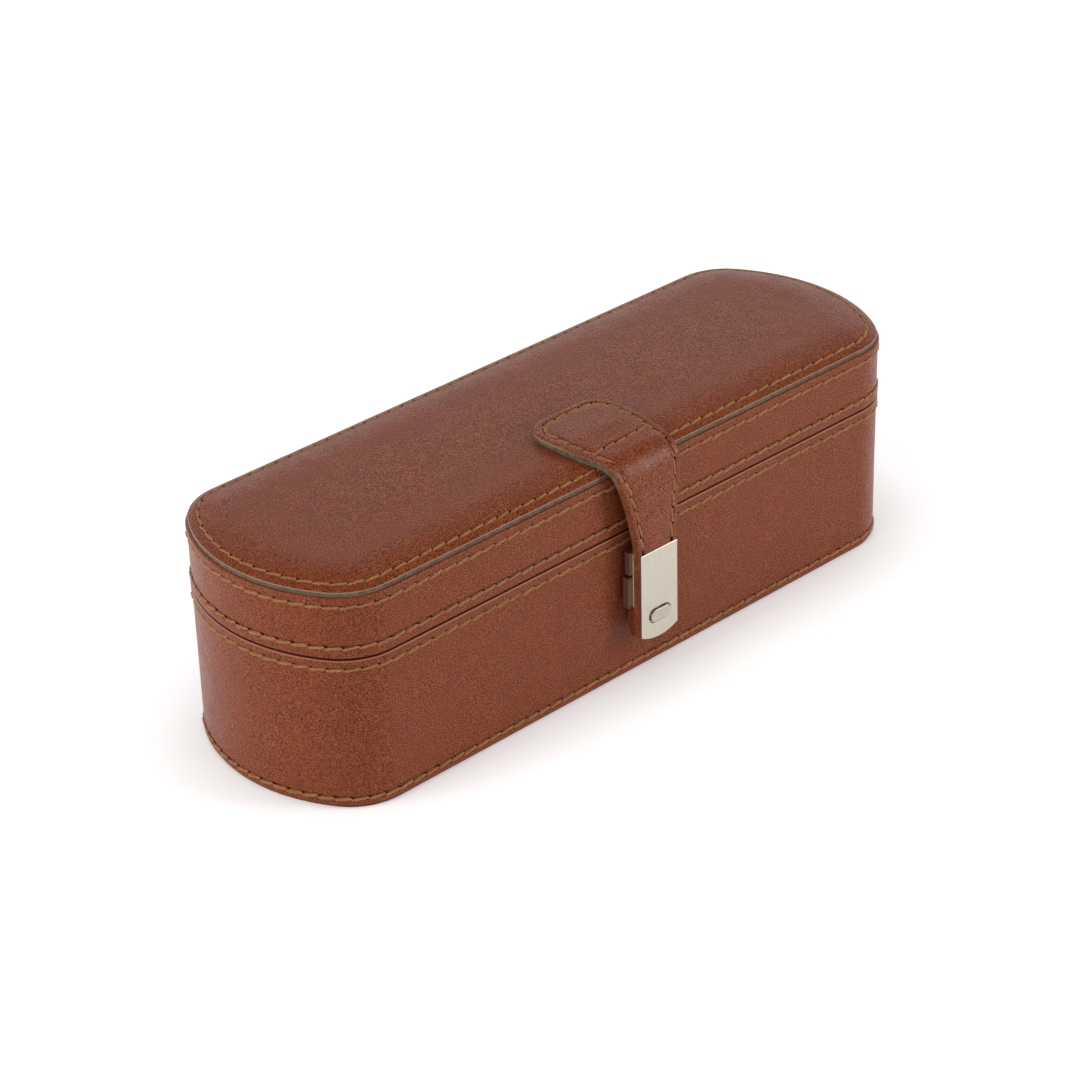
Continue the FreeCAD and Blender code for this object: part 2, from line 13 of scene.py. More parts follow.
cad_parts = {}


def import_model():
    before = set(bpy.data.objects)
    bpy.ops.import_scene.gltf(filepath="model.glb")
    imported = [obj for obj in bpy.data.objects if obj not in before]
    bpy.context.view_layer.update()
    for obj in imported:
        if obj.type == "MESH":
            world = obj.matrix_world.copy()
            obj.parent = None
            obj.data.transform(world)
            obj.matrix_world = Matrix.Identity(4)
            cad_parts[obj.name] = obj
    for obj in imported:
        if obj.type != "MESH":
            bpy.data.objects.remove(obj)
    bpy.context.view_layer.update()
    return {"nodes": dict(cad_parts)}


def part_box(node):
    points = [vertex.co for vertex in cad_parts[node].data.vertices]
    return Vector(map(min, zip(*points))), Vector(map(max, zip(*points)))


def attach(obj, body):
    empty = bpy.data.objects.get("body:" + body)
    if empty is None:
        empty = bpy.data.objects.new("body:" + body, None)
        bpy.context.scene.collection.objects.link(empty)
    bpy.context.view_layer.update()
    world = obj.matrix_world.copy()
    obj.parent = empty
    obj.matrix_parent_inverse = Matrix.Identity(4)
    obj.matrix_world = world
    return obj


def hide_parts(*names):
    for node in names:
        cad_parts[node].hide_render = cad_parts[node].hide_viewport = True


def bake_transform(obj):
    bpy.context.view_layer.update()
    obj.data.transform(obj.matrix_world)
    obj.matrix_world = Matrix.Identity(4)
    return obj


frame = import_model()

MM = 0.001

# Plan of the box
HALF_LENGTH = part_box("base_side_leather")[1].x
HALF_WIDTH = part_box("base_side_leather")[1].y
END_RADIUS = 66 * MM
CORNER_RADIUS = 24 * MM
OUTLINE_STEP = 1.0 * MM

# Levels of the leather skins
BASE_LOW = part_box("base_side_leather")[0].z
BASE_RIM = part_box("base_side_leather")[1].z
LID_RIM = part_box("lid_side_leather")[0].z
LID_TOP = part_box("lid_side_leather")[1].z
LEATHER = 1.2 * MM
FOLD_RADIUS = 0.9 * MM
RIM_REACH = 6.25 * MM
TURN_IN = 14 * MM

# Relief of the wall leather: sunk between its two stitch lines, a groove at each line and a slit above it
WALL_SINK = 0.45 * MM
GROOVE_DEPTH = 0.28 * MM
GROOVE_WIDTH = 0.6 * MM
SLIT_DEPTH = 0.62 * MM
SLIT_WIDTH = 0.26 * MM
SLIT_ABOVE = 0.8 * MM
LIP_BLEND = 0.9 * MM
PUCKER = 0.4
WAVE_SIZE = 22 * MM
WAVE_HEIGHT = 0.07 * MM
WALL_ROWS = 24
STITCH_ROWS = 19
STITCH_REACH = 2.2 * MM
SLIT_ROWS = 15
SLIT_REACH = 2.2 * SLIT_WIDTH
FOLD_STEPS = 7

# Stitch lines on the walls
BASE_LOW_STITCH = 3.4 * MM
BASE_HIGH_STITCH = 55.8 * MM
LID_LOW_STITCH = 64.3 * MM
LID_HIGH_STITCH = 80.4 * MM

# Thread
PITCH = 5.95 * MM
THREAD_RADIUS = 0.58 * MM
THREAD_LIFT = 0.2 * MM
THREAD_SINK = 0.42 * MM
THREAD_SLANT = 0.42 * MM
THREAD_OVERLAP = 0.05
THREAD_SLIP = 0.14 * MM
THREAD_UNEVEN = 0.3
STITCH_SEED = 5
THREAD_TURNS = 2.5
THREAD_ARCH_POWER = 6
THREAD_END_SHARE = 0.7
PLY_DEPTH = 0.13
THREAD_RINGS = 13
THREAD_SIDES = 10
# Dark ovals of painted shade that stand for the needle holes
HOLE_SIZE = Vector((0.9, 0.46, 0.18)) * MM
HOLE_CHAMFER = 0.8
HOLE_ABOVE = 0.55 * MM
PANEL_HOLE_LIFT = 0.24 * MM
STRAP_HOLE_LIFT = 0.3 * MM

# Padded top panel
PANEL_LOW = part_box("lid_top_leather")[0].z
PANEL_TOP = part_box("lid_top_leather")[1].z
PANEL_INSET = 1.1 * MM
EDGE_HEIGHT = 1.85 * MM
EDGE_DEPTH = 0.9 * MM
EDGE_SET_BACK = 0.12 * MM
EDGE_BULGE = 0.28 * MM
EDGE_BULGE_POWER = 0.6
EDGE_STEPS = 13
BORDER_RUN = 3.5 * MM
BORDER_RISE = 1.3 * MM
BORDER_POWER = 1.25
SEAM_INSET = 4.6 * MM
SEAM_DEPTH = 0.5 * MM
SEAM_WIDTH = 0.55 * MM
CROWN_RUN = 15 * MM
CROWN_POWER = 2.3
MIDDLE_RISE = 0.25 * MM
LAST_RING = 22 * MM
SEAM_SIDE = 2 * MM
WAVE_FADE = 4 * MM
BORDER_STEPS = 12
SEAM_STEPS = 10
CROWN_STEPS = 18
SPINE_STEPS = 9
PANEL_WELD = 0.02 * MM
PANEL_STITCH_TILT = 0.25

# Strap: underside path in the YZ plane, its bend radii and the plan of the leather
STRAP_THICKNESS = 3.0 * MM
STRAP_PATH = np.array([
    (-8.5, 89.3), (-28.0, 89.2), (-39.5, 88.35), (-49.6, 87.65), (-51.6, 77.0), (-52.6, 56.4), (-52.6, 16.9),
]) * MM
STRAP_BENDS = np.array([60, 40, 7, 60, 15]) * MM
STRAP_STEP = 0.5 * MM
LEAST_BEND_POINTS = 3
TAB_HALF_WIDTH = 19.0 * MM
TAB_CORNER = 10 * MM
END_HALF_WIDTH = 9.3 * MM
NARROW_FROM = 16 * MM
NARROW_TO = 79 * MM
TAB_LEAN = -2.0 * MM
STRAP_EDGE_ROUND = 0.8 * MM
TAB_STITCH_INSET = 3.5 * MM
END_STITCH_INSET = 2.4 * MM
STRAP_GROOVE = 0.6 * MM
STRAP_CROWN = 0.18 * MM
CROSS_SEAM = 30.3 * MM
CROSS_SKEW = 0.037
PLATE_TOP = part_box("lock_plate")[1].z
PLATE_BOW = 2.4 * MM
STRAP_COLUMNS = 85
TAB_ROWS = 16
TAB_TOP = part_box("strap_tab")[1].z
STRAP_PAINT_FROM = LID_TOP - 4 * MM
STRAP_PAINT_TO = LID_TOP + 3 * MM
STITCH_PLATE_GAP = 1.0 * MM
SIDE_POINTS = 200
CORNER_POINTS = 24
CROSS_POINTS = 50

# Room in the strap for the button's flange
BUTTON_ROOM_HALF_LENGTH = 6.65 * MM
BUTTON_ROOM_HALF_HEIGHT = 4.1 * MM

# Pillows
PILLOW_COUNT = 5
PILLOW_ROUNDNESS = 5.0
PILLOW_VOXEL = 4.0 * MM
PILLOW_SWELL = 3.0 * MM
PILLOW_PRESSURE = 4.0
PILLOW_FRAMES = 20
PILLOW_MARGIN = 0.15 * MM
PILLOW_SEAM_SHARE = 0.84
PILLOW_PIN_SHARE = 0.7
PILLOW_CUTS = 9
PILLOW_FOOT = 1.5 * MM
LEAST_MOVE = 1e-9
WELT_RADIUS = 0.75 * MM
WELT_SIDES = 8
WELT_STEPS = 96

# Softened edges of the metal pieces
BUTTON_SOFTNESS = 0.3 * MM
LOCK_SOFTNESS = 0.4 * MM
BEVEL_SEGMENTS = 3
BEVEL_ANGLE = math.radians(50)
WELD_DISTANCE = 0.001 * MM

# Camera of the photograph
CAMERA_PLACE = Vector((-0.71488, -0.76423, 0.63820))
CAMERA_AZIMUTH = math.radians(42.859)
CAMERA_PITCH = math.radians(-29.992)
CAMERA_ROLL = math.radians(-1.639)
CAMERA_LENS = 108.4
CAMERA_SENSOR = 36.0

# Studio
FLOOR_SIZE = 12.0
FLOOR_GLOW = 0.53
# Reach of the occlusion that fades the floor's glow near the box: a painted contact shadow
CONTACT_REACH = 34 * MM
WALL_TONES = [(0.0, 1.15), (0.4, 1.1), (0.5, 0.8), (0.6, 0.35), (0.7, 0.12), (1.0, 0.1)]
FAR_SIDE = Vector((0.68, 0.73, 0))
NEAR_LEVEL = 0.55
FAR_LEVEL = 1.1
LAMP_AIM = Vector((0, 0, 0.05))
LAMPS = {
    "right_lamp": {"place": (1.25, -1.49, 1.08), "wide": 0.78, "high": 1.15, "power": 19.5},
    "left_lamp": {"place": (-1.5, 0.35, 0.95), "wide": 1.2, "high": 1.2, "power": 16.0},
    "near_lamp": {"place": (-0.9, -0.85, 1.75), "wide": 0.8, "high": 0.8, "power": 2.5},
}


def srgb(red, green, blue):
    """Linear colour, with alpha, of an 8-bit sRGB one."""
    def linear(value):
        share = value / 255
        if share <= 0.04045:
            return share / 12.92
        return ((share + 0.055) / 1.055) ** 2.4
    return (linear(red), linear(green), linear(blue), 1.0)


# Tones of the leather, its painted edges, the thread, the foam and the floor
DYE_DARK = srgb(64, 19, 6)
DYE_LIGHT = srgb(170, 89, 49)
DYE_MOTTLE = srgb(112, 50, 26)
DYE_PATCH = srgb(124, 60, 34)
# The rim tone is a painted highlight on the base's rim fold; the fold tone is painted shade in the joint
# between base and lid.
RIM_HIGHLIGHT = srgb(168, 116, 84)
FOLD_SHADE = srgb(76, 34, 16)
PAINT_DARK = srgb(80, 75, 60)
PAINT_LIGHT = srgb(108, 101, 84)
PAINT_ARRIS_LIGHT = srgb(168, 130, 104)
TAB_PAINT_DARK = srgb(84, 77, 61)
TAB_PAINT_LIGHT = srgb(114, 104, 86)
TAB_PAINT_ARRIS_LIGHT = srgb(180, 140, 106)
CUT_EDGE_DARK = srgb(128, 68, 40)
CUT_EDGE_LIGHT = srgb(160, 94, 60)
THREAD_DARK = srgb(104, 62, 32)
THREAD_LIGHT = srgb(204, 146, 96)
THREAD_SOILED = srgb(104, 72, 42)
# The needle hole tones are painted shade: the dark inside the holes.
HOLE_DARK = srgb(34, 16, 8)
HOLE_LIGHT = srgb(58, 28, 14)
FOAM_DARK = srgb(150, 146, 128)
FOAM_LIGHT = srgb(232, 226, 204)
FLOOR_DARK = srgb(238, 238, 238)
FLOOR_LIGHT = srgb(244, 244, 244)


def smoothstep(low, high, value):
    """Soft step from 0 at low to 1 at high."""
    share = np.clip((value - low) / (high - low), 0, 1)
    return share * share * (3 - 2 * share)


def bell(distance, width):
    """Soft bump of height 1 about a distance of 0."""
    return np.exp(-(distance / width) ** 2)


def unit(vectors):
    """Vectors, one or a row each, at length 1."""
    return vectors / np.linalg.norm(vectors, axis=-1, keepdims=True)


def travelled(points):
    """Distance run along a line at each of its points."""
    return np.concatenate(([0], np.cumsum(np.linalg.norm(np.diff(points, axis=0), axis=1))))


def read_along(stations, run, rows):
    """Rows given along a run, read at stations between them."""
    return np.stack([np.interp(stations, run, column) for column in rows.T], axis=-1)


def extended(points, value):
    """Points with one more coordinate: the same for all of them, or one for each."""
    return np.column_stack((points, np.broadcast_to(value, len(points))))


def full_turn(count):
    """Angles of count even steps round a circle."""
    return np.arange(count) / count * 2 * math.pi


class Nodes:
    """The node tree of a new material or world, with short calls that add and link nodes."""

    def __init__(self, name, store=bpy.data.materials, shader="Principled BSDF", place="Object"):
        self.owner = store.new(name)
        self.owner.use_nodes = True
        self.tree = self.owner.node_tree
        self.shader = self.tree.nodes[shader]
        self.place = self.add("ShaderNodeTexCoord").outputs[place]

    def feed(self, socket, value):
        """Links an output to a socket, or sets a plain value on it."""
        if isinstance(value, bpy.types.NodeSocket):
            self.tree.links.new(value, socket)
        else:
            socket.default_value = value

    def add(self, kind, sockets=None, **settings):
        """A new node with its settings made and its sockets fed."""
        node = self.tree.nodes.new(kind)
        for key, value in settings.items():
            setattr(node, key, value)
        for key, value in (sockets or {}).items():
            self.feed(node.inputs[key], value)
        return node

    def set(self, **values):
        """Feeds the shader's sockets, named with underscores for spaces."""
        for key, value in values.items():
            self.feed(self.shader.inputs[key.replace("_", " ")], value)

    def stretched(self, scale):
        """The place with each axis scaled."""
        return self.add("ShaderNodeMapping", {"Vector": self.place, "Scale": scale}).outputs["Vector"]

    def noise(self, size, detail=2.0, roughness=0.5, distortion=0.0, place=None):
        """Noise whose features are about size metres across."""
        sockets = {"Vector": place or self.place, "Scale": 1 / size, "Detail": detail}
        sockets.update({"Roughness": roughness, "Distortion": distortion})
        return self.add("ShaderNodeTexNoise", sockets).outputs["Fac"]

    def cells(self, size, feature="F1"):
        """Distances in a pattern of cells about size metres across."""
        sockets = {"Vector": self.place, "Scale": 1 / size}
        return self.add("ShaderNodeTexVoronoi", sockets, feature=feature).outputs["Distance"]

    def span(self, value, low, high, to_low=0.0, to_high=1.0):
        """Maps a range of a value to another range, clamped."""
        sockets = {"Value": value, "From Min": low, "From Max": high, "To Min": to_low, "To Max": to_high}
        return self.add("ShaderNodeMapRange", sockets).outputs["Result"]

    def sum(self, first, second, share):
        """First plus second times share."""
        sockets = {0: second, 1: share, 2: first}
        return self.add("ShaderNodeMath", sockets, operation="MULTIPLY_ADD").outputs["Value"]

    def product(self, first, second):
        """First times second."""
        return self.add("ShaderNodeMath", {0: first, 1: second}, operation="MULTIPLY").outputs["Value"]

    def upward(self, vector):
        """The Z part of a vector."""
        return self.add("ShaderNodeSeparateXYZ", {0: vector}).outputs["Z"]

    def upright(self):
        """How far the surface faces straight up or down, from 0 to 1."""
        facing = self.upward(self.add("ShaderNodeTexCoord").outputs["Normal"])
        return self.add("ShaderNodeMath", {0: facing}, operation="ABSOLUTE").outputs["Value"]

    def mix(self, share, first, second):
        """A colour between two. The sockets are found by type, because their names repeat."""
        node = self.add("ShaderNodeMix", {0: share}, data_type="RGBA")
        low, high = (socket for socket in node.inputs if socket.type == "RGBA")
        self.feed(low, first)
        self.feed(high, second)
        return next(socket for socket in node.outputs if socket.type == "RGBA")

    def bump(self, height, distance, strength):
        """Bends the shading normal by a height."""
        sockets = {"Height": height, "Distance": distance, "Strength": strength}
        self.set(Normal=self.add("ShaderNodeBump", sockets).outputs["Normal"])


def leather(name, gloss=0.18, rims=False):
    """Brown leather with a fine grain and a waxed half gloss; if asked, a painted highlight along the base's
    rim fold and painted shade in the joint between base and lid.
    """
    nodes = Nodes(name)
    pebbles = nodes.cells(1.15 * MM, "SMOOTH_F1")
    pores = nodes.noise(0.5 * MM, detail=1, roughness=0.6)
    mottle = nodes.noise(6 * MM, detail=4)
    patches = nodes.noise(30 * MM, detail=3)
    dye = nodes.mix(nodes.span(pores, 0.37, 0.63), DYE_DARK, DYE_LIGHT)
    dye = nodes.mix(nodes.span(mottle, 0.35, 0.65, 0, 0.3), dye, DYE_MOTTLE)
    dye = nodes.mix(nodes.span(patches, 0.35, 0.65, 0, 0.2), dye, DYE_PATCH)
    if rims:
        level = nodes.upward(nodes.place)
        # A thin lighter band just below the base's rim, on its rounded fold: a painted highlight.
        highlight_from = nodes.span(level, BASE_RIM - 0.8 * MM, BASE_RIM - 0.6 * MM)
        highlight_to = nodes.span(level, BASE_RIM - 0.2 * MM, BASE_RIM - 0.35 * MM, 0, 0.8)
        dye = nodes.mix(nodes.product(highlight_from, highlight_to), dye, RIM_HIGHLIGHT)
        # A dark band on the rounded folds from the base's rim to the lid's rim: painted shade in the joint
        # between base and lid.
        joint_from = nodes.span(level, BASE_RIM - 0.3 * MM, BASE_RIM - 0.15 * MM)
        joint_to = nodes.span(level, LID_RIM + 0.4 * MM, LID_RIM + 0.2 * MM)
        joint_shade = nodes.product(nodes.product(joint_from, joint_to), nodes.span(nodes.upright(), 0.999, 0.98))
        dye = nodes.mix(joint_shade, dye, FOLD_SHADE)
    nodes.set(Base_Color=dye, Specular_IOR_Level=gloss)
    nodes.set(Roughness=nodes.span(mottle, 0.3, 0.7, 0.32, 0.4))
    grain = nodes.sum(nodes.span(pebbles, 0.1, 0.7, 1, 0), pores, 1.1)
    nodes.bump(grain, 0.1 * MM, 0.65)
    return nodes.owner


def painted_edge():
    """Grey-green edge paint on cut leather, lighter in thin lines along its two arrises."""
    nodes = Nodes("edge_paint")
    streaks = nodes.noise(2.2 * MM, detail=4)
    paint = nodes.mix(nodes.span(streaks, 0.35, 0.65), PAINT_DARK, PAINT_LIGHT)
    level = nodes.upward(nodes.place)
    top = PANEL_LOW + EDGE_HEIGHT
    # Lighter thin lines along the band's top and bottom arrises.
    upper = nodes.span(level, top - 0.5 * MM, top - 0.2 * MM, 0, 0.8)
    lower = nodes.span(level, PANEL_LOW + 0.45 * MM, PANEL_LOW + 0.2 * MM, 0, 0.55)
    tone = nodes.mix(nodes.sum(upper, lower, 1.0), paint, PAINT_ARRIS_LIGHT)
    nodes.set(Base_Color=tone, Roughness=0.42, Specular_IOR_Level=0.15)
    nodes.bump(streaks, 0.08 * MM, 0.5)
    return nodes.owner


def strap_edge():
    """Edge of the strap: painted grey-green on the tab and lighter near its upper arris, bare brown where it
    hangs.
    """
    nodes = Nodes("strap_edge")
    streaks = nodes.noise(2.0 * MM, detail=4)
    streak_share = nodes.span(streaks, 0.35, 0.65)
    level = nodes.upward(nodes.place)
    paint = nodes.mix(streak_share, TAB_PAINT_DARK, TAB_PAINT_LIGHT)
    brown = nodes.mix(streak_share, CUT_EDGE_DARK, CUT_EDGE_LIGHT)
    tone = nodes.mix(nodes.span(level, STRAP_PAINT_FROM, STRAP_PAINT_TO), brown, paint)
    # Lighter near the tab's upper arris.
    arris = nodes.span(level, TAB_TOP - 1.7 * MM, TAB_TOP - 1.2 * MM, 0, 0.7)
    tone = nodes.mix(arris, tone, TAB_PAINT_ARRIS_LIGHT)
    nodes.set(Base_Color=tone, Roughness=0.42, Specular_IOR_Level=0.15)
    nodes.bump(streaks, 0.1 * MM, 0.5)
    return nodes.owner


def thread():
    """Waxed tan thread, darker between its fibres."""
    nodes = Nodes("waxed_thread")
    fibre = nodes.noise(0.22 * MM, detail=3)
    shade = nodes.noise(7 * MM)
    tan = nodes.mix(nodes.span(fibre, 0.35, 0.65), THREAD_DARK, THREAD_LIGHT)
    tan = nodes.mix(nodes.span(shade, 0.4, 0.75, 0, 0.3), tan, THREAD_SOILED)
    nodes.set(Base_Color=tan, Roughness=0.6, Specular_IOR_Level=0.15)
    nodes.bump(fibre, 0.08 * MM, 0.6)
    return nodes.owner


def needle_hole_shade():
    """Painted shade for a needle hole: a dark, dull colour on the flat oval that stands for the hole."""
    nodes = Nodes("needle_hole_shade")
    shade = nodes.noise(0.4 * MM)
    nodes.set(Base_Color=nodes.mix(shade, HOLE_DARK, HOLE_LIGHT), Roughness=0.95, Specular_IOR_Level=0.0)
    return nodes.owner


def suede(name, light, dark):
    """Short-nap suede: brushed patches, fine fibres and a soft sheen at grazing angles."""
    nodes = Nodes(name)
    fibres = nodes.noise(0.3 * MM, detail=3)
    brushed = nodes.noise(9 * MM, detail=4, distortion=0.6)
    nap = nodes.mix(nodes.span(brushed, 0.32, 0.68), dark, light)
    nap = nodes.mix(nodes.span(fibres, 0.3, 0.7, 0, 0.35), nap, dark)
    nodes.set(Base_Color=nap, Roughness=0.92)
    nodes.set(Sheen_Weight=0.35, Sheen_Roughness=0.45)
    nodes.bump(fibres, 0.12 * MM, 0.7)
    return nodes.owner


def metal(name, light, dark, roughness, grain):
    """Brushed plating: hair lines along the grain and a slightly cloudy polish."""
    nodes = Nodes(name)
    lines = nodes.noise(1.0, detail=3, place=nodes.stretched([1 / size for size in grain]))
    cloud = nodes.noise(6 * MM, detail=3)
    tone = nodes.mix(nodes.span(lines, 0.3, 0.7), dark, light)
    nodes.set(Base_Color=tone, Metallic=1.0)
    nodes.set(Roughness=nodes.span(cloud, 0.3, 0.7, roughness * 0.9, roughness * 1.1))
    nodes.bump(lines, 0.01 * MM, 0.35)
    return nodes.owner


def board(name, light, dark):
    """Fibreboard or card: short pale fibres in a dull surface."""
    nodes = Nodes(name)
    fibres = nodes.noise(0.8 * MM, detail=4, place=nodes.stretched((0.3, 1.0, 1.0)))
    nodes.set(Base_Color=nodes.mix(nodes.span(fibres, 0.3, 0.7), dark, light), Roughness=0.85)
    nodes.bump(fibres, 0.1 * MM, 0.5)
    return nodes.owner


def foam():
    """Open-cell foam."""
    nodes = Nodes("open_foam")
    cells = nodes.cells(0.8 * MM)
    tone = nodes.mix(nodes.span(cells, 0.1, 0.6), FOAM_DARK, FOAM_LIGHT)
    nodes.set(Base_Color=tone, Roughness=0.95)
    nodes.bump(cells, 0.3 * MM, 0.8)
    return nodes.owner


LEATHER_LOOK = leather("brown_leather")
STRAP_LOOK = leather("strap_leather", gloss=0.26)
RIM_LOOK = leather("rim_leather", rims=True)
PAINT_LOOK = painted_edge()
THREAD_LOOK = thread()
HOLE_SHADE_LOOK = needle_hole_shade()
LINING_LOOK = suede("lining_suede", srgb(196, 172, 138), srgb(168, 144, 110))
PILLOW_LOOK = suede("pillow_suede", srgb(202, 178, 144), srgb(176, 152, 118))
WELT_LOOK = suede("welt_suede", srgb(172, 146, 110), srgb(142, 118, 86))


def edit_mesh(mesh, change):
    """Makes a change to the mesh, given as a function of its bmesh."""
    work = bmesh.new()
    work.from_mesh(mesh)
    change(work)
    work.to_mesh(mesh)
    work.free()


def add_piece(name, vertices, faces, looks, sharp=40):
    """A mesh object with outward normals, smooth except at edges over the sharp angle in degrees."""
    mesh = bpy.data.meshes.new(name)
    mesh.from_pydata([tuple(v) for v in vertices], [], faces)
    edit_mesh(mesh, lambda work: bmesh.ops.recalc_face_normals(work, faces=work.faces))
    for look in looks:
        mesh.materials.append(look)
    mesh.shade_smooth()
    mesh.set_sharp_from_angle(angle=math.radians(sharp))
    piece = bpy.data.objects.new(name, mesh)
    bpy.context.scene.collection.objects.link(piece)
    return piece


def arc(centre, radius, first, last):
    """Points in step spacing along an arc, short of its end, and their outward normals."""
    count = math.ceil(radius * (last - first) / OUTLINE_STEP)
    angles = first + (last - first) * np.arange(count) / count
    normals = np.column_stack((np.cos(angles), np.sin(angles)))
    return np.array(centre) + radius * normals, normals


def plan_outline():
    """Points and outward normals round the plan, from the front's left corner."""
    end_x = HALF_LENGTH - END_RADIUS
    corner_y = HALF_WIDTH - CORNER_RADIUS
    corner_x = end_x + math.sqrt((END_RADIUS - CORNER_RADIUS) ** 2 - corner_y ** 2)
    lean = math.atan2(corner_y, corner_x - end_x)
    count = math.ceil(2 * corner_x / OUTLINE_STEP)
    front_x = -corner_x + 2 * corner_x * (np.arange(count) / count)
    front = -math.pi / 2
    half_plan = [
        (extended(front_x, -HALF_WIDTH), np.tile((math.cos(front), math.sin(front)), (count, 1))),
        arc((corner_x, -corner_y), CORNER_RADIUS, front, -lean),
        arc((end_x, 0), END_RADIUS, -lean, lean),
        arc((corner_x, corner_y), CORNER_RADIUS, lean, -front),
    ]
    points, normals = (np.vstack(runs) for runs in zip(*half_plan))
    return np.vstack((points, -points)), np.vstack((normals, -normals))


PLAN, PLAN_NORMALS = plan_outline()


def ring(inset):
    """Points of the plan moved in by an inset, with the distance run at each one and in all."""
    points = PLAN - np.broadcast_to(inset, len(PLAN))[:, None] * PLAN_NORMALS
    return points, travelled(np.vstack((points, points[:1])))


def flat_ring(inset, z):
    """Points of the plan at an inset and a level, or a level for each point."""
    return extended(ring(inset)[0], z)


def loft(count, around, closed, first=0):
    """Faces between rings of around vertices each, the last ring joined to the first one if closed."""
    faces = []
    for row in range(count if closed else count - 1):
        low = first + row * around
        high = first + (row + 1) % count * around
        for column in range(around):
            after = (column + 1) % around
            faces.append((low + column, low + after, high + after, high + column))
    return faces


def stitch_count(inset):
    """How many stitches go round the plan at an inset."""
    return round(ring(inset)[1][-1] / PITCH)


def pucker(inset):
    """Share of the groove's depth at each plan point: deepest at the needle holes."""
    run = ring(inset)[1]
    phase = run[:-1] / run[-1] * stitch_count(inset)
    return 1 - PUCKER * np.sin(math.pi * phase) ** 2


def waves(points, z):
    """Slow unevenness of the leather at points of one level."""
    heights = [noise.noise(Vector((x, y, z)) / WAVE_SIZE) for x, y in points]
    return WAVE_HEIGHT * np.array(heights)


def wall_inset(z, low_stitch, high_stitch):
    """Inset of the wall's face at each plan point: sunk between the stitch lines, with grooves."""
    over_low = smoothstep(-LIP_BLEND, LIP_BLEND, z - low_stitch)
    under_high = smoothstep(-LIP_BLEND, LIP_BLEND, high_stitch - z)
    grooves = bell(z - low_stitch, GROOVE_WIDTH) + bell(z - high_stitch, GROOVE_WIDTH)
    slits = bell(z - low_stitch - SLIT_ABOVE, SLIT_WIDTH) + bell(z - high_stitch - SLIT_ABOVE, SLIT_WIDTH)
    sewn = (GROOVE_DEPTH * grooves + SLIT_DEPTH * slits) * pucker(0)
    return sewn + (WALL_SINK + waves(PLAN, z)) * over_low * under_high


def face_levels(low, high, stitches):
    """Levels of the wall's rows: close together by the stitch lines."""
    levels = list(np.linspace(low, high, WALL_ROWS))
    for stitch in stitches:
        levels += list(stitch + np.linspace(-STITCH_REACH, STITCH_REACH, STITCH_ROWS))
        levels += list(stitch + SLIT_ABOVE + np.linspace(-SLIT_REACH, SLIT_REACH, SLIT_ROWS))
    return sorted(z for z in levels if low <= z <= high)


def wall_skin(name, look, low, high, low_reach, high_reach, low_stitch, high_stitch):
    """Leather round a wall, folded in at both edges: a closed section carried round the plan."""
    rings = []

    def row(inset, z):
        rings.append(flat_ring(inset, z))

    turns = np.linspace(0, math.pi / 2, FOLD_STEPS)
    row(low_reach, low)
    row((low_reach + FOLD_RADIUS) / 2, low)
    for turn in turns:
        row(FOLD_RADIUS * (1 - math.sin(turn)), low + FOLD_RADIUS * (1 - math.cos(turn)))
    for z in face_levels(low + FOLD_RADIUS, high - FOLD_RADIUS, (low_stitch, high_stitch))[1:-1]:
        row(wall_inset(z, low_stitch, high_stitch), z)
    for turn in turns:
        row(FOLD_RADIUS * (1 - math.cos(turn)), high - FOLD_RADIUS * (1 - math.sin(turn)))
    row((high_reach + FOLD_RADIUS) / 2, high)
    row(high_reach, high)
    row(high_reach, high - LEATHER)
    row(LEATHER, high - LEATHER)
    row(LEATHER, low + LEATHER)
    row(low_reach, low + LEATHER)
    return add_piece(name, np.vstack(rings), loft(len(rings), len(PLAN), True), [look])


def panel_height(inset):
    """Height of the top panel's leather at an inset: rounded border, seam groove, crown."""
    top = PANEL_LOW + EDGE_HEIGHT
    inset = np.asarray(inset, float)
    rise = np.clip(1 - (inset - PANEL_INSET) / BORDER_RUN, 0, 1)
    border = top + BORDER_RISE * (1 - rise ** BORDER_POWER) ** (1 / BORDER_POWER)
    share = np.clip((inset - SEAM_INSET) / CROWN_RUN, 0, 1)
    seam_level = top + BORDER_RISE
    crown = (PANEL_TOP - MIDDLE_RISE - seam_level) * (1 - (1 - share) ** CROWN_POWER)
    middle = MIDDLE_RISE * smoothstep(SEAM_INSET, HALF_WIDTH, inset)
    groove = SEAM_DEPTH * bell(inset - SEAM_INSET, SEAM_WIDTH)
    return border + crown + middle - groove


def panel_edge():
    """The painted band round the panel: the cut edge of its leather and board."""
    middle = PANEL_LOW + EDGE_HEIGHT / 2
    rings = []
    for turn in np.linspace(-math.pi / 2, math.pi / 2, EDGE_STEPS):
        bulge = EDGE_BULGE * max(math.cos(turn), 0) ** EDGE_BULGE_POWER
        z = middle + EDGE_HEIGHT / 2 * math.sin(turn)
        rings.append(flat_ring(PANEL_INSET + EDGE_SET_BACK - bulge, z))
    for z in (PANEL_LOW + EDGE_HEIGHT, PANEL_LOW):
        rings.append(flat_ring(PANEL_INSET + EDGE_DEPTH, z))
    return add_piece("lid_panel_edge", np.vstack(rings), loft(len(rings), len(PLAN), True), [PAINT_LOOK])


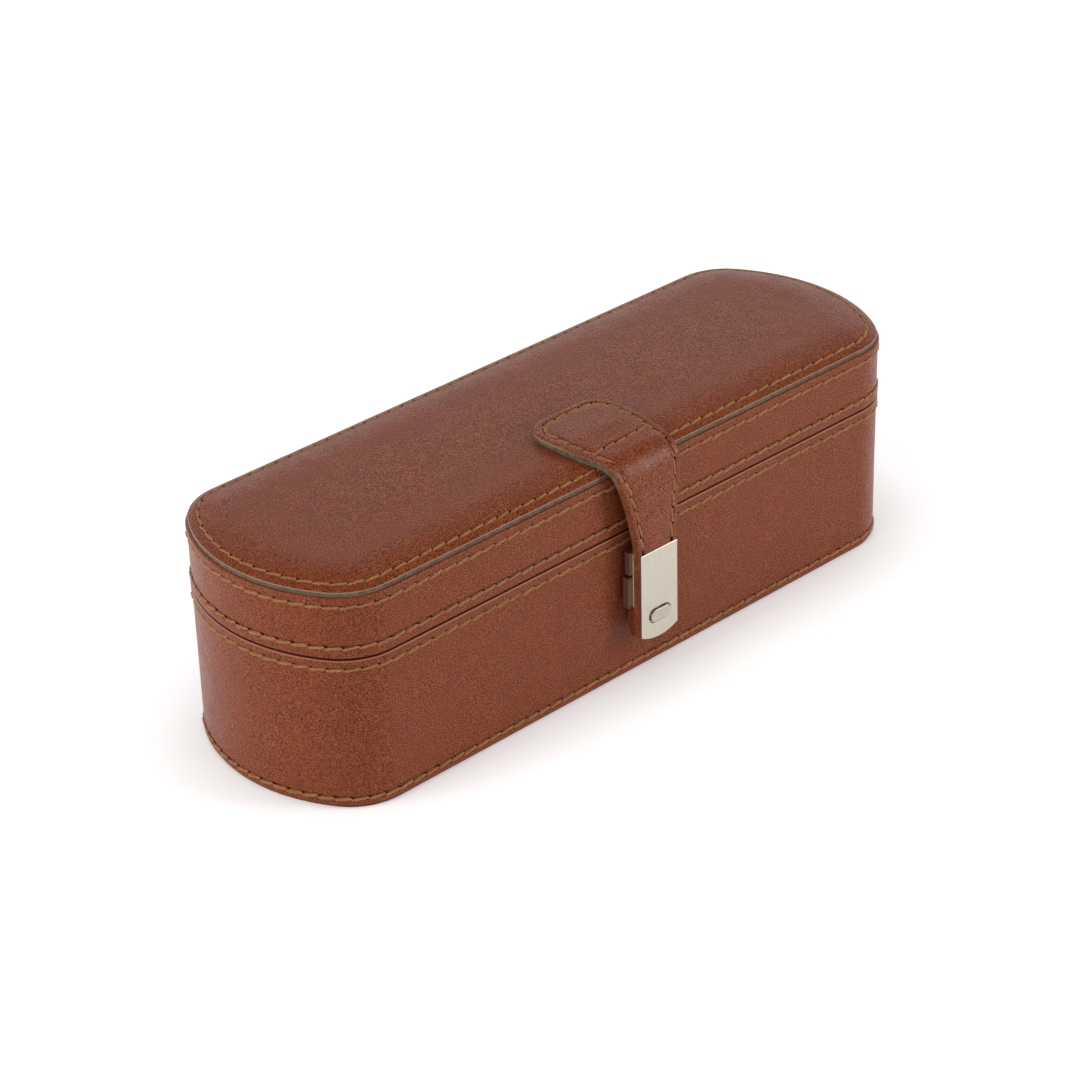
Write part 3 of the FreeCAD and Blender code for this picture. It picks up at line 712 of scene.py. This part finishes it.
def top_panel():
    """Padded leather panel: border, seam and crown in rings, closed to a line along the middle."""
    border = PANEL_INSET + BORDER_RUN * (1 - np.cos(np.linspace(0, math.pi / 2, BORDER_STEPS)))
    beside = np.linspace(SEAM_INSET, SEAM_INSET + SEAM_SIDE, SEAM_STEPS)[1:]
    crown = np.linspace(SEAM_INSET + SEAM_SIDE, LAST_RING, CROWN_STEPS)[1:]
    rings = [flat_ring(PANEL_INSET + EDGE_DEPTH, z) for z in (PANEL_LOW, PANEL_LOW + EDGE_HEIGHT)]
    dips = pucker(SEAM_INSET)
    for inset in np.concatenate((border, beside, crown)):
        z = panel_height(inset) + SEAM_DEPTH * bell(inset - SEAM_INSET, SEAM_WIDTH) * (1 - dips)
        z = z + waves(ring(inset)[0], 0) * smoothstep(SEAM_INSET, SEAM_INSET + WAVE_FADE, inset)
        rings.append(flat_ring(inset, z))
    last = ring(LAST_RING)[0]
    spine = HALF_LENGTH - END_RADIUS
    axis = extended(np.clip(last[:, 0], -spine, spine), 0)
    for share in np.linspace(0, 1, SPINE_STEPS)[1:]:
        points = last + (axis - last) * share
        inset = LAST_RING + (HALF_WIDTH - LAST_RING) * share
        z = panel_height(inset) + waves(points, 0)
        rings.append(extended(points, z))
    faces = loft(len(rings), len(PLAN), False)
    faces.append(tuple(range(len(PLAN))))
    piece = add_piece("lid_top_panel", np.vstack(rings), faces, [LEATHER_LOOK])
    edit_mesh(piece.data, lambda work: bmesh.ops.remove_doubles(work, verts=work.verts, dist=PANEL_WELD))
    return piece


def thread_shape(start, stop, normal, size):
    """Vertices of one stitch: two twisted plies that rise from a hole and dive into the next."""
    along = stop - start
    side = np.cross(normal, unit(along))
    shares = np.linspace(-THREAD_OVERLAP, 1 + THREAD_OVERLAP, THREAD_RINGS)
    vertices = []
    for share in shares:
        arch = 1 - ((2 * share - 1) / (1 + 2 * THREAD_OVERLAP)) ** THREAD_ARCH_POWER
        centre = start + along * share + normal * (THREAD_LIFT * arch - THREAD_SINK * (1 - arch))
        thick = THREAD_RADIUS * size * (THREAD_END_SHARE + (1 - THREAD_END_SHARE) * arch)
        for angle in full_turn(THREAD_SIDES):
            ply = 1 + PLY_DEPTH * math.cos(2 * (angle - THREAD_TURNS * math.pi * share))
            vertices.append(centre + thick * ply * (math.cos(angle) * side + math.sin(angle) * normal))
    return vertices


def hole_shape(centre, along, normal):
    """Vertices of a flat dark oval of painted shade that stands for a needle hole."""
    side = np.cross(normal, along)
    vertices = []
    for level in (-1, 0, 1):
        reach = math.sqrt(1 - (HOLE_CHAMFER * level) ** 2)
        for angle in full_turn(THREAD_SIDES):
            flat = reach * (HOLE_SIZE.x * math.cos(angle) * along + HOLE_SIZE.y * math.sin(angle) * side)
            vertices.append(centre + flat + HOLE_SIZE.z * level * normal)
    return vertices


def tubes(shapes, first=0):
    """Vertices and faces of capped tubes, each given as rings of THREAD_SIDES vertices."""
    vertices = []
    faces = []
    for shape in shapes:
        start = first + len(vertices)
        vertices += shape
        stop = first + len(vertices)
        faces += loft(len(shape) // THREAD_SIDES, THREAD_SIDES, False, start)
        faces.append(tuple(reversed(range(start, start + THREAD_SIDES))))
        faces.append(tuple(range(stop - THREAD_SIDES, stop)))
    return vertices, faces


def seam(name, holes, normals, across, closed, hole_lift=0.0):
    """A row of slanted stitches from hole to hole, and beside their ends dark ovals of painted shade for the
    holes.
    """
    threads = []
    hole_shades = []
    chance = np.random.default_rng(STITCH_SEED)
    count = len(holes)
    for index in range(count if closed else count - 1):
        after = (index + 1) % count
        normal = unit(normals[index] + normals[after])
        slant = across[index] * THREAD_SLANT * chance.uniform(1 - THREAD_UNEVEN, 1 + THREAD_UNEVEN)
        slip = across[index] * THREAD_SLIP * chance.uniform(-1, 1)
        size = 1 + THREAD_UNEVEN / 2 * chance.uniform(-1, 1)
        threads.append(thread_shape(holes[index] - slant + slip, holes[after] + slant + slip, normal, size))
    for index in range(count):
        along = np.cross(across[index], normals[index])
        place = holes[index] + across[index] * HOLE_ABOVE + normals[index] * hole_lift
        hole_shades.append(hole_shape(place, along, normals[index]))
    vertices, faces = tubes(threads)
    hole_vertices, hole_faces = tubes(hole_shades, len(vertices))
    looks = [THREAD_LOOK, HOLE_SHADE_LOOK]
    piece = add_piece(name, vertices + hole_vertices, faces + hole_faces, looks, sharp=60)
    for polygon in piece.data.polygons[len(faces):]:
        polygon.material_index = looks.index(HOLE_SHADE_LOOK)
    return piece


def ring_stations(inset):
    """Places and outward normals of evenly spaced holes round the plan."""
    points, run = ring(inset)
    count = stitch_count(inset)
    stations = np.arange(count) / count * run[-1]
    places = read_along(stations, run, np.vstack((points, points[:1])))
    outward = read_along(stations, run, np.vstack((PLAN_NORMALS, PLAN_NORMALS[:1])))
    return places, unit(outward)


def wall_seam(name, z, body):
    """Stitches round a wall at one level, seated in the groove."""
    places, outward = ring_stations(WALL_SINK / 2 + GROOVE_DEPTH)
    across = np.tile((0.0, 0.0, 1.0), (len(places), 1))
    piece = seam(name, extended(places, z), extended(outward, 0), across, True)
    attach(piece, body)


def panel_seam():
    """Stitches round the top panel, in the groove between its border and its crown."""
    places, outward = ring_stations(SEAM_INSET)
    holes = extended(places, panel_height(SEAM_INSET))
    upward = math.sqrt(1 - PANEL_STITCH_TILT ** 2)
    normals = extended(outward * PANEL_STITCH_TILT, upward)
    across = extended(-outward * upward, PANEL_STITCH_TILT)
    piece = seam("lid_panel_stitches", holes, normals, across, True, PANEL_HOLE_LIFT)
    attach(piece, "lid")


def strap_line():
    """Underside of the strap as points and outward normals in the YZ plane, with the distance run."""
    runs = unit(np.diff(STRAP_PATH, axis=0))
    points = [STRAP_PATH[0]]
    for index, bend in enumerate(STRAP_BENDS):
        corner = STRAP_PATH[index + 1]
        before, after = runs[index], runs[index + 1]
        turn = math.acos(np.clip(before @ after, -1, 1))
        centre = corner + unit(after - before) * bend / math.cos(turn / 2)
        first = corner - before * bend * math.tan(turn / 2)
        for share in np.linspace(0, 1, max(LEAST_BEND_POINTS, math.ceil(bend * turn / STRAP_STEP))):
            angle = turn * share * np.sign(before[0] * after[1] - before[1] * after[0])
            spin = np.array(((math.cos(angle), -math.sin(angle)), (math.sin(angle), math.cos(angle))))
            points.append(centre + spin @ (first - centre))
    points.append(STRAP_PATH[-1])
    points = np.array(points)
    run = travelled(points)
    even = np.linspace(0, run[-1], math.ceil(run[-1] / STRAP_STEP) + 1)
    points = read_along(even, run, points)
    tangents = unit(np.gradient(points, axis=0))
    return points, np.column_stack((tangents[:, 1], -tangents[:, 0])), even


STRAP_POINTS, STRAP_NORMALS, STRAP_RUN = strap_line()


def strap_half_width(run):
    """Half width of the strap along its run, without the rounded corners of the tab."""
    return TAB_HALF_WIDTH + (END_HALF_WIDTH - TAB_HALF_WIDTH) * smoothstep(NARROW_FROM, NARROW_TO, run)


def stitch_inset(run):
    """How far the strap's edge stitches lie inside its outline."""
    return TAB_STITCH_INSET + (END_STITCH_INSET - TAB_STITCH_INSET) * smoothstep(NARROW_FROM, NARROW_TO, run)


def strap_reach(run):
    """Half width of the strap with the rounded corners of the tab."""
    missing = np.clip(TAB_CORNER - run, 0, TAB_CORNER)
    corner = TAB_CORNER - np.sqrt(TAB_CORNER ** 2 - missing ** 2)
    return strap_half_width(run) - corner


def strap_edge_distance(run, x):
    """How far a point of the flat strap lies inside its outline."""
    side = strap_half_width(run) - np.abs(x)
    corner_x = np.abs(x) - (TAB_HALF_WIDTH - TAB_CORNER)
    corner_run = TAB_CORNER - run
    in_corner = (corner_x > 0) & (corner_run > 0)
    corner = TAB_CORNER - np.hypot(corner_x, corner_run)
    return np.where(in_corner, corner, np.minimum(side, run))


def cross_run(x):
    """Run of the slightly skewed seam across the strap."""
    return CROSS_SEAM - CROSS_SKEW * x


def strap_relief(run, x):
    """Height of the strap's face over its thickness: rounded edge, stitch grooves, soft middle."""
    inside = np.maximum(strap_edge_distance(run, x), 0)
    short = np.clip(STRAP_EDGE_ROUND - inside, 0, STRAP_EDGE_ROUND)
    rounding = STRAP_EDGE_ROUND - np.sqrt(STRAP_EDGE_ROUND ** 2 - short ** 2)
    inset = stitch_inset(run)
    groove = STRAP_GROOVE * bell(inside - inset, GROOVE_WIDTH)
    cross = STRAP_GROOVE * bell(run - cross_run(x), GROOVE_WIDTH) * (inside > inset)
    crown = STRAP_CROWN * smoothstep(END_STITCH_INSET, 3 * END_STITCH_INSET, inside)
    return crown - rounding - np.maximum(groove, cross)


def strap_place(run, x, height):
    """Points at a height over the strap's underside."""
    aside = TAB_LEAN * (1 - smoothstep(0, NARROW_TO, run))
    normals = read_along(run, STRAP_RUN, STRAP_NORMALS)
    places = read_along(run, STRAP_RUN, STRAP_POINTS) + normals * height[..., None]
    return np.concatenate(((x + aside)[..., None], places), axis=-1)


def strap_grid():
    """Run and x of the strap's grid of vertices, with a bowed lower end."""
    shares = np.sin(np.linspace(-math.pi / 2, math.pi / 2, STRAP_COLUMNS))
    tab_rows = TAB_CORNER * (1 - np.cos(np.linspace(0, math.pi / 2, TAB_ROWS)))
    rows = np.concatenate((tab_rows, STRAP_RUN[STRAP_RUN > TAB_CORNER + STRAP_STEP / 2]))
    run, share = np.meshgrid(rows, shares, indexing="ij")
    plate_run = np.interp(-PLATE_TOP, -STRAP_POINTS[:, 1], STRAP_RUN)
    run = run - PLATE_BOW * share ** 2 * smoothstep(plate_run, STRAP_RUN[-1], run)
    return run, strap_reach(run) * share


def in_button_room(points):
    """True at points of the strap that the button's flange needs free."""
    button_low, button_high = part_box("push_button")
    middle = (button_low.z + button_high.z) / 2
    across = np.maximum(np.abs(points[..., 0]) - BUTTON_ROOM_HALF_LENGTH + BUTTON_ROOM_HALF_HEIGHT, 0)
    return np.hypot(across, points[..., 2] - middle) < BUTTON_ROOM_HALF_HEIGHT


def shell(upper, lower, kept):
    """Vertices, faces and rim flags of a closed slab between two grids, with cells left out."""
    rows, columns = upper.shape[:2]
    count = rows * columns
    index = np.arange(count).reshape(rows, columns)
    faces = []
    rims = []
    for row in range(rows - 1):
        for column in range(columns - 1):
            if not kept[row, column]:
                continue
            corners = [(row, column), (row, column + 1), (row + 1, column + 1), (row + 1, column)]
            loop = [index[corner] for corner in corners]
            faces.append(tuple(loop))
            rims.append(False)
            faces.append(tuple(count + vertex for vertex in reversed(loop)))
            rims.append(False)
            beside = [(row - 1, column), (row, column + 1), (row + 1, column), (row, column - 1)]
            for side, (other_row, other_column) in enumerate(beside):
                inside = 0 <= other_row < rows - 1 and 0 <= other_column < columns - 1
                if inside and kept[other_row, other_column]:
                    continue
                first, second = loop[side], loop[(side + 1) % len(loop)]
                faces.append((second, first, count + first, count + second))
                rims.append(True)
    vertices = np.vstack((upper.reshape(-1, 3), lower.reshape(-1, 3)))
    return vertices, faces, rims


def strap():
    """One strip of leather from the tab on the lid, over the lid's edge to the lock, with a groove for the
    seam across it.
    """
    run, x = strap_grid()
    upper = strap_place(run, x, STRAP_THICKNESS + strap_relief(run, x))
    lower = strap_place(run, x, np.zeros_like(run))
    middles = (upper[:-1, :-1] + upper[1:, 1:]) / 2
    vertices, faces, rims = shell(upper, lower, ~in_button_room(middles))
    piece = add_piece("strap_leather", vertices, faces, [STRAP_LOOK, strap_edge()], sharp=50)
    for polygon, rim in zip(piece.data.polygons, rims):
        polygon.material_index = int(rim)

    def drop_loose(work):
        loose = [vertex for vertex in work.verts if not vertex.link_faces]
        bmesh.ops.delete(work, geom=loose, context="VERTS")

    edit_mesh(piece.data, drop_loose)
    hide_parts("strap_tab", "strap_flap")
    bend_strap(piece)


def bend_strap(piece):
    """Bakes the piece's placement into its mesh."""
    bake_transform(piece)


def strap_stitch_route():
    """Run and x along the strap's edge stitches: up one side, round the tab, down the other."""
    plate_run = np.interp(-PLATE_TOP, -STRAP_POINTS[:, 1], STRAP_RUN) - STITCH_PLATE_GAP
    side_run = np.linspace(plate_run, TAB_CORNER, SIDE_POINTS)
    side_x = strap_half_width(side_run) - stitch_inset(side_run)
    turns = np.linspace(0, math.pi / 2, CORNER_POINTS)
    bend = TAB_CORNER - TAB_STITCH_INSET
    corner_run = TAB_CORNER - bend * np.sin(turns)
    corner_x = TAB_HALF_WIDTH - TAB_CORNER + bend * np.cos(turns)
    run = np.concatenate((side_run, corner_run))
    x = np.concatenate((side_x, corner_x))
    return np.concatenate((run, run[::-1])), np.concatenate((-x, x[::-1]))


def even_route(run, x):
    """The route at even stitch spacing."""
    far = travelled(np.column_stack((run, x)))
    stations = np.linspace(0, far[-1], round(far[-1] / PITCH) + 1)
    return np.interp(stations, far, run), np.interp(stations, far, x)


def strap_seam(name, run, x):
    """Stitches along a route on the strap, given as run and x."""
    run, x = even_route(run, x)
    height = STRAP_THICKNESS + strap_relief(run, x)
    holes = strap_place(run, x, height)
    normals = unit(strap_place(run, x, height + MM) - holes)
    across = unit(np.cross(normals, np.gradient(holes, axis=0)))
    piece = seam(name, holes, normals, across, False, STRAP_HOLE_LIFT)
    bend_strap(piece)


def strap_seams():
    """Stitches along the strap's edge and across it where it leaves the lid."""
    strap_seam("strap_edge_stitches", *strap_stitch_route())
    reach = strap_half_width(CROSS_SEAM) - stitch_inset(CROSS_SEAM)
    x = np.linspace(-reach, reach, CROSS_POINTS)
    strap_seam("strap_cross_stitches", cross_run(x), x)


def rounded_box(half):
    """A box with soft edges about the origin, on an even grid."""
    work = bmesh.new()
    bmesh.ops.create_cube(work, size=2)
    bmesh.ops.subdivide_edges(work, edges=work.edges, cuts=PILLOW_CUTS, use_grid_fill=True)
    for vertex in work.verts:
        size = sum(abs(part) ** PILLOW_ROUNDNESS for part in vertex.co) ** (1 / PILLOW_ROUNDNESS)
        vertex.co = Vector(part / size * reach for part, reach in zip(vertex.co, half))
    mesh = bpy.data.meshes.new("pillow_start")
    work.to_mesh(mesh)
    work.free()
    return mesh


def applied(work):
    """The object's mesh with its modifiers applied."""
    graph = bpy.context.evaluated_depsgraph_get()
    return bpy.data.meshes.new_from_object(work.evaluated_get(graph))


def points_of(mesh):
    """Places of the mesh's vertices."""
    return np.array([vertex.co for vertex in mesh.vertices])


def pin_seams(work, places, half):
    """Puts the vertices along the two end seams in the group that the cloth holds still."""
    pins = work.vertex_groups.new(name="seams")
    for index, place in enumerate(places):
        near = abs(abs(place[0]) / half.x - PILLOW_SEAM_SHARE) * half.x < PILLOW_VOXEL / 2
        outer = max(abs(place[1]) / half.y, abs(place[2]) / half.z) > PILLOW_PIN_SHARE
        if near and outer:
            pins.add([index], 1.0, "REPLACE")


def blown_up(work):
    """Places of the object's vertices after cloth pressure has swelled it."""
    cloth = work.modifiers.new("cloth", "CLOTH")
    cloth.settings.vertex_group_mass = "seams"
    cloth.settings.use_pressure = True
    cloth.settings.uniform_pressure_force = PILLOW_PRESSURE
    cloth.settings.effector_weights.gravity = 0
    scene = bpy.context.scene
    for number in range(1, PILLOW_FRAMES + 1):
        scene.frame_set(number)
    ends = points_of(applied(work))
    work.modifiers.clear()
    scene.frame_set(1)
    return ends


def swollen(mesh, half):
    """The mesh remeshed evenly and blown up, no point by more than the swell, and smoothed."""
    work = bpy.data.objects.new("pillow_work", mesh)
    bpy.context.scene.collection.objects.link(work)
    remesh = work.modifiers.new("remesh", "REMESH")
    remesh.mode = "VOXEL"
    remesh.voxel_size = PILLOW_VOXEL
    work.data = applied(work)
    work.modifiers.clear()
    start = points_of(work.data)
    pin_seams(work, start, half)
    moves = blown_up(work) - start
    far = np.maximum(np.linalg.norm(moves, axis=1), LEAST_MOVE)
    ends = start + moves * (np.minimum(far, PILLOW_SWELL) / far)[:, None]
    work.data.vertices.foreach_set("co", ends.ravel())
    smooth = work.modifiers.new("smooth", "SUBSURF")
    smooth.levels = 1
    result = applied(work)
    bpy.data.objects.remove(work)
    return result


def fitted(mesh, low, high):
    """Vertices of the mesh stretched to fill a box, flat where it rests on the floor."""
    points = points_of(mesh)
    lowest, highest = points.min(0), points.max(0)
    low = np.array(low) + (PILLOW_MARGIN, PILLOW_MARGIN, -PILLOW_FOOT)
    high = np.array(high) - PILLOW_MARGIN
    points = low + (points - lowest) / (highest - lowest) * (high - low)
    points[:, 2] = np.maximum(points[:, 2], low[2] + PILLOW_FOOT)
    return points


def welts(name, points, faces, centre, half):
    """Two thin piped seams that follow the pillow's surface near its ends."""
    tree = BVHTree.FromPolygons([Vector(point) for point in points], faces)
    vertices = []
    welt_faces = []
    for end in (-1, 1):
        welt_faces += loft(WELT_STEPS, WELT_SIDES, True, len(vertices))
        for angle in full_turn(WELT_STEPS):
            far = Vector((0, math.cos(angle) * half.y, math.sin(angle) * half.z)) * 2
            start = centre + far + Vector((end * half.x * PILLOW_SEAM_SHARE, 0, 0))
            place, normal = (np.array(part) for part in tree.ray_cast(start, -far.normalized())[:2])
            for turn in full_turn(WELT_SIDES):
                around = np.array((math.cos(turn), 0, 0)) + math.sin(turn) * normal
                vertices.append(place + around * WELT_RADIUS)
    return add_piece(name, vertices, welt_faces, [WELT_LOOK])


def pillows():
    """Five stuffed suede pillows, one simulated shape fitted to each place."""
    low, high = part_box("pillow_1")
    half = (high - low) / 2
    start = rounded_box(half)
    start = swollen(start, half)
    faces = [tuple(polygon.vertices) for polygon in start.polygons]
    for number in range(1, PILLOW_COUNT + 1):
        node = f"pillow_{number}"
        low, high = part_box(node)
        points = fitted(start, low, high)
        piece = add_piece(f"{node}_cushion", points, faces, [PILLOW_LOOK], sharp=80)
        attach(piece, node)
        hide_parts(node)
        piping = welts(f"{node}_welts", points, faces, (low + high) / 2, half)
        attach(piping, node)


def skins():
    """Leather round the walls, the padded top panel with its painted edge, and their stitches."""
    base = wall_skin("base_leather", RIM_LOOK, BASE_LOW, BASE_RIM, TURN_IN, RIM_REACH,
                     BASE_LOW_STITCH, BASE_HIGH_STITCH)
    lid = wall_skin("lid_leather", RIM_LOOK, LID_RIM, LID_TOP, RIM_REACH, TURN_IN,
                    LID_LOW_STITCH, LID_HIGH_STITCH)
    panel = top_panel()
    edge = panel_edge()
    for piece, body in ((base, "base"), (lid, "lid"), (panel, "lid"), (edge, "lid")):
        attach(piece, body)
    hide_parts("base_side_leather")
    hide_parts("lid_side_leather")
    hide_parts("lid_top_leather", "lid_top_foam")
    wall_seam("base_low_stitches", BASE_LOW_STITCH, "base")
    wall_seam("base_high_stitches", BASE_HIGH_STITCH, "base")
    wall_seam("lid_low_stitches", LID_LOW_STITCH, "lid")
    wall_seam("lid_high_stitches", LID_HIGH_STITCH, "lid")
    panel_seam()


def soften(part, width):
    """Rounds the sharp edges of a CAD part."""
    weld = part.modifiers.new("weld", "WELD")
    weld.merge_threshold = WELD_DISTANCE
    bevel = part.modifiers.new("bevel", "BEVEL")
    bevel.width = width
    bevel.segments = BEVEL_SEGMENTS
    bevel.limit_method = "ANGLE"
    bevel.angle_limit = BEVEL_ANGLE


def finish_nodes():
    """Procedural finishes on the CAD nodes, with softened edges on the button and the lock's pieces."""
    plate_hair = (0.25 * MM, 0.25 * MM, 9 * MM)
    button_hair = (9 * MM, 0.25 * MM, 0.25 * MM)
    lock_hair = (9 * MM, 0.3 * MM, 0.3 * MM)
    wire_hair = (0.2 * MM, 0.2 * MM, 4 * MM)
    hinge_hair = (8 * MM, 0.25 * MM, 0.25 * MM)
    button = metal("button_nickel", srgb(194, 187, 172), srgb(178, 171, 156), 0.4, button_hair)
    looks = {
        "brown_leather": LEATHER_LOOK,
        "board": board("fibreboard", srgb(176, 146, 108), srgb(146, 116, 82)),
        "card": board("grey_card", srgb(160, 142, 120), srgb(132, 116, 98)),
        "suede_lining": LINING_LOOK,
        "suede_pillow": PILLOW_LOOK,
        "foam": foam(),
        "satin_nickel": metal("satin_nickel", srgb(204, 197, 183), srgb(192, 185, 170), 0.34, plate_hair),
        "lock_steel": metal("lock_steel", srgb(180, 168, 152), srgb(154, 142, 128), 0.38, lock_hair),
        "spring_steel": metal("spring_steel", srgb(176, 176, 176), srgb(150, 150, 150), 0.3, wire_hair),
        "hinge_steel": metal("hinge_steel", srgb(190, 182, 166), srgb(164, 156, 140), 0.3, hinge_hair),
    }
    for part in frame["nodes"].values():
        for slot in part.material_slots:
            slot.material = looks[slot.material.name.split(".")[0]]
    for slot in frame["nodes"]["push_button"].material_slots:
        slot.material = button
    soften(frame["nodes"]["push_button"], BUTTON_SOFTNESS)
    for name in ("catch_housing", "spring_block", "lock_backplate"):
        soften(frame["nodes"][name], LOCK_SOFTNESS)


def world():
    """Studio surroundings: white walls that darken towards the ceiling and on the near side."""
    nodes = Nodes("studio", bpy.data.worlds, "Background", "Generated")
    tone = nodes.add("ShaderNodeValToRGB", {"Fac": nodes.upward(nodes.place)})
    side = nodes.add("ShaderNodeVectorMath", {0: nodes.place, 1: FAR_SIDE}, operation="DOT_PRODUCT")
    strength = nodes.span(side.outputs["Value"], -1, 1, NEAR_LEVEL, FAR_LEVEL)
    nodes.set(Color=tone.outputs["Color"], Strength=strength)
    ramp = tone.color_ramp
    while len(ramp.elements) < len(WALL_TONES):
        ramp.elements.new(1.0)
    for element, (height, shade) in zip(ramp.elements, WALL_TONES):
        element.position = height
        element.color = (shade, shade, shade, 1)
    bpy.context.scene.world = nodes.owner


def lamp(name, place, wide, high, power):
    """A soft lamp that faces the box."""
    data = bpy.data.lights.new(name, "AREA")
    data.shape = "RECTANGLE"
    data.size = wide
    data.size_y = high
    data.energy = power
    piece = bpy.data.objects.new(name, data)
    bpy.context.scene.collection.objects.link(piece)
    aim = LAMP_AIM - Vector(place)
    piece.matrix_world = Matrix.Translation(place) @ aim.to_track_quat("-Z", "Y").to_matrix().to_4x4()


def floor():
    """Pale floor that shows near white to the eye and in reflections and keeps the lamps' shadow; its glow
    fades by occlusion near the box, a painted contact shadow.
    """
    nodes = Nodes("pale_floor")
    grain = nodes.noise(0.4, detail=1)
    nodes.set(Base_Color=nodes.mix(grain, FLOOR_DARK, FLOOR_LIGHT), Roughness=0.9, Specular_IOR_Level=0.0)
    path = nodes.add("ShaderNodeLightPath")
    seen = nodes.sum(path.outputs["Is Camera Ray"], path.outputs["Is Glossy Ray"], 1.0)
    seen = nodes.sum(seen, path.outputs["Is Transmission Ray"], 1.0)
    # The glow fades by ambient occlusion near the box, which paints a contact shadow.
    contact_shade = nodes.add("ShaderNodeAmbientOcclusion", {"Distance": CONTACT_REACH})
    strength = nodes.product(nodes.span(seen, 0, 1, 0, FLOOR_GLOW), contact_shade.outputs["AO"])
    glow = nodes.add("ShaderNodeEmission", {"Strength": strength})
    blend = nodes.add("ShaderNodeAddShader", {0: nodes.shader.outputs[0], 1: glow.outputs[0]})
    nodes.feed(nodes.tree.nodes["Material Output"].inputs["Surface"], blend.outputs[0])
    half = FLOOR_SIZE / 2
    corners = [(-half, -half, 0), (half, -half, 0), (half, half, 0), (-half, half, 0)]
    mesh = bpy.data.meshes.new("floor")
    mesh.from_pydata(corners, [], [(0, 1, 2, 3)])
    mesh.materials.append(nodes.owner)
    piece = bpy.data.objects.new("floor", mesh)
    bpy.context.scene.collection.objects.link(piece)


def camera():
    """The photograph's camera."""
    data = bpy.data.cameras.new("camera")
    data.lens = CAMERA_LENS
    data.sensor_width = CAMERA_SENSOR
    data.sensor_fit = "HORIZONTAL"
    piece = bpy.data.objects.new("camera", data)
    bpy.context.scene.collection.objects.link(piece)
    heading = Matrix.Rotation(-CAMERA_AZIMUTH, 4, "Z")
    pitch = Matrix.Rotation(math.pi / 2 + CAMERA_PITCH, 4, "X")
    roll = Matrix.Rotation(CAMERA_ROLL, 4, "Z")
    piece.matrix_world = Matrix.Translation(CAMERA_PLACE) @ heading @ pitch @ roll
    bpy.context.scene.camera = piece


skins()
strap()
strap_seams()
pillows()
finish_nodes()
world()
for lamp_name, lamp_values in LAMPS.items():
    lamp(lamp_name, **lamp_values)
floor()
camera()
bpy.context.scene.view_settings.view_transform = "Standard"
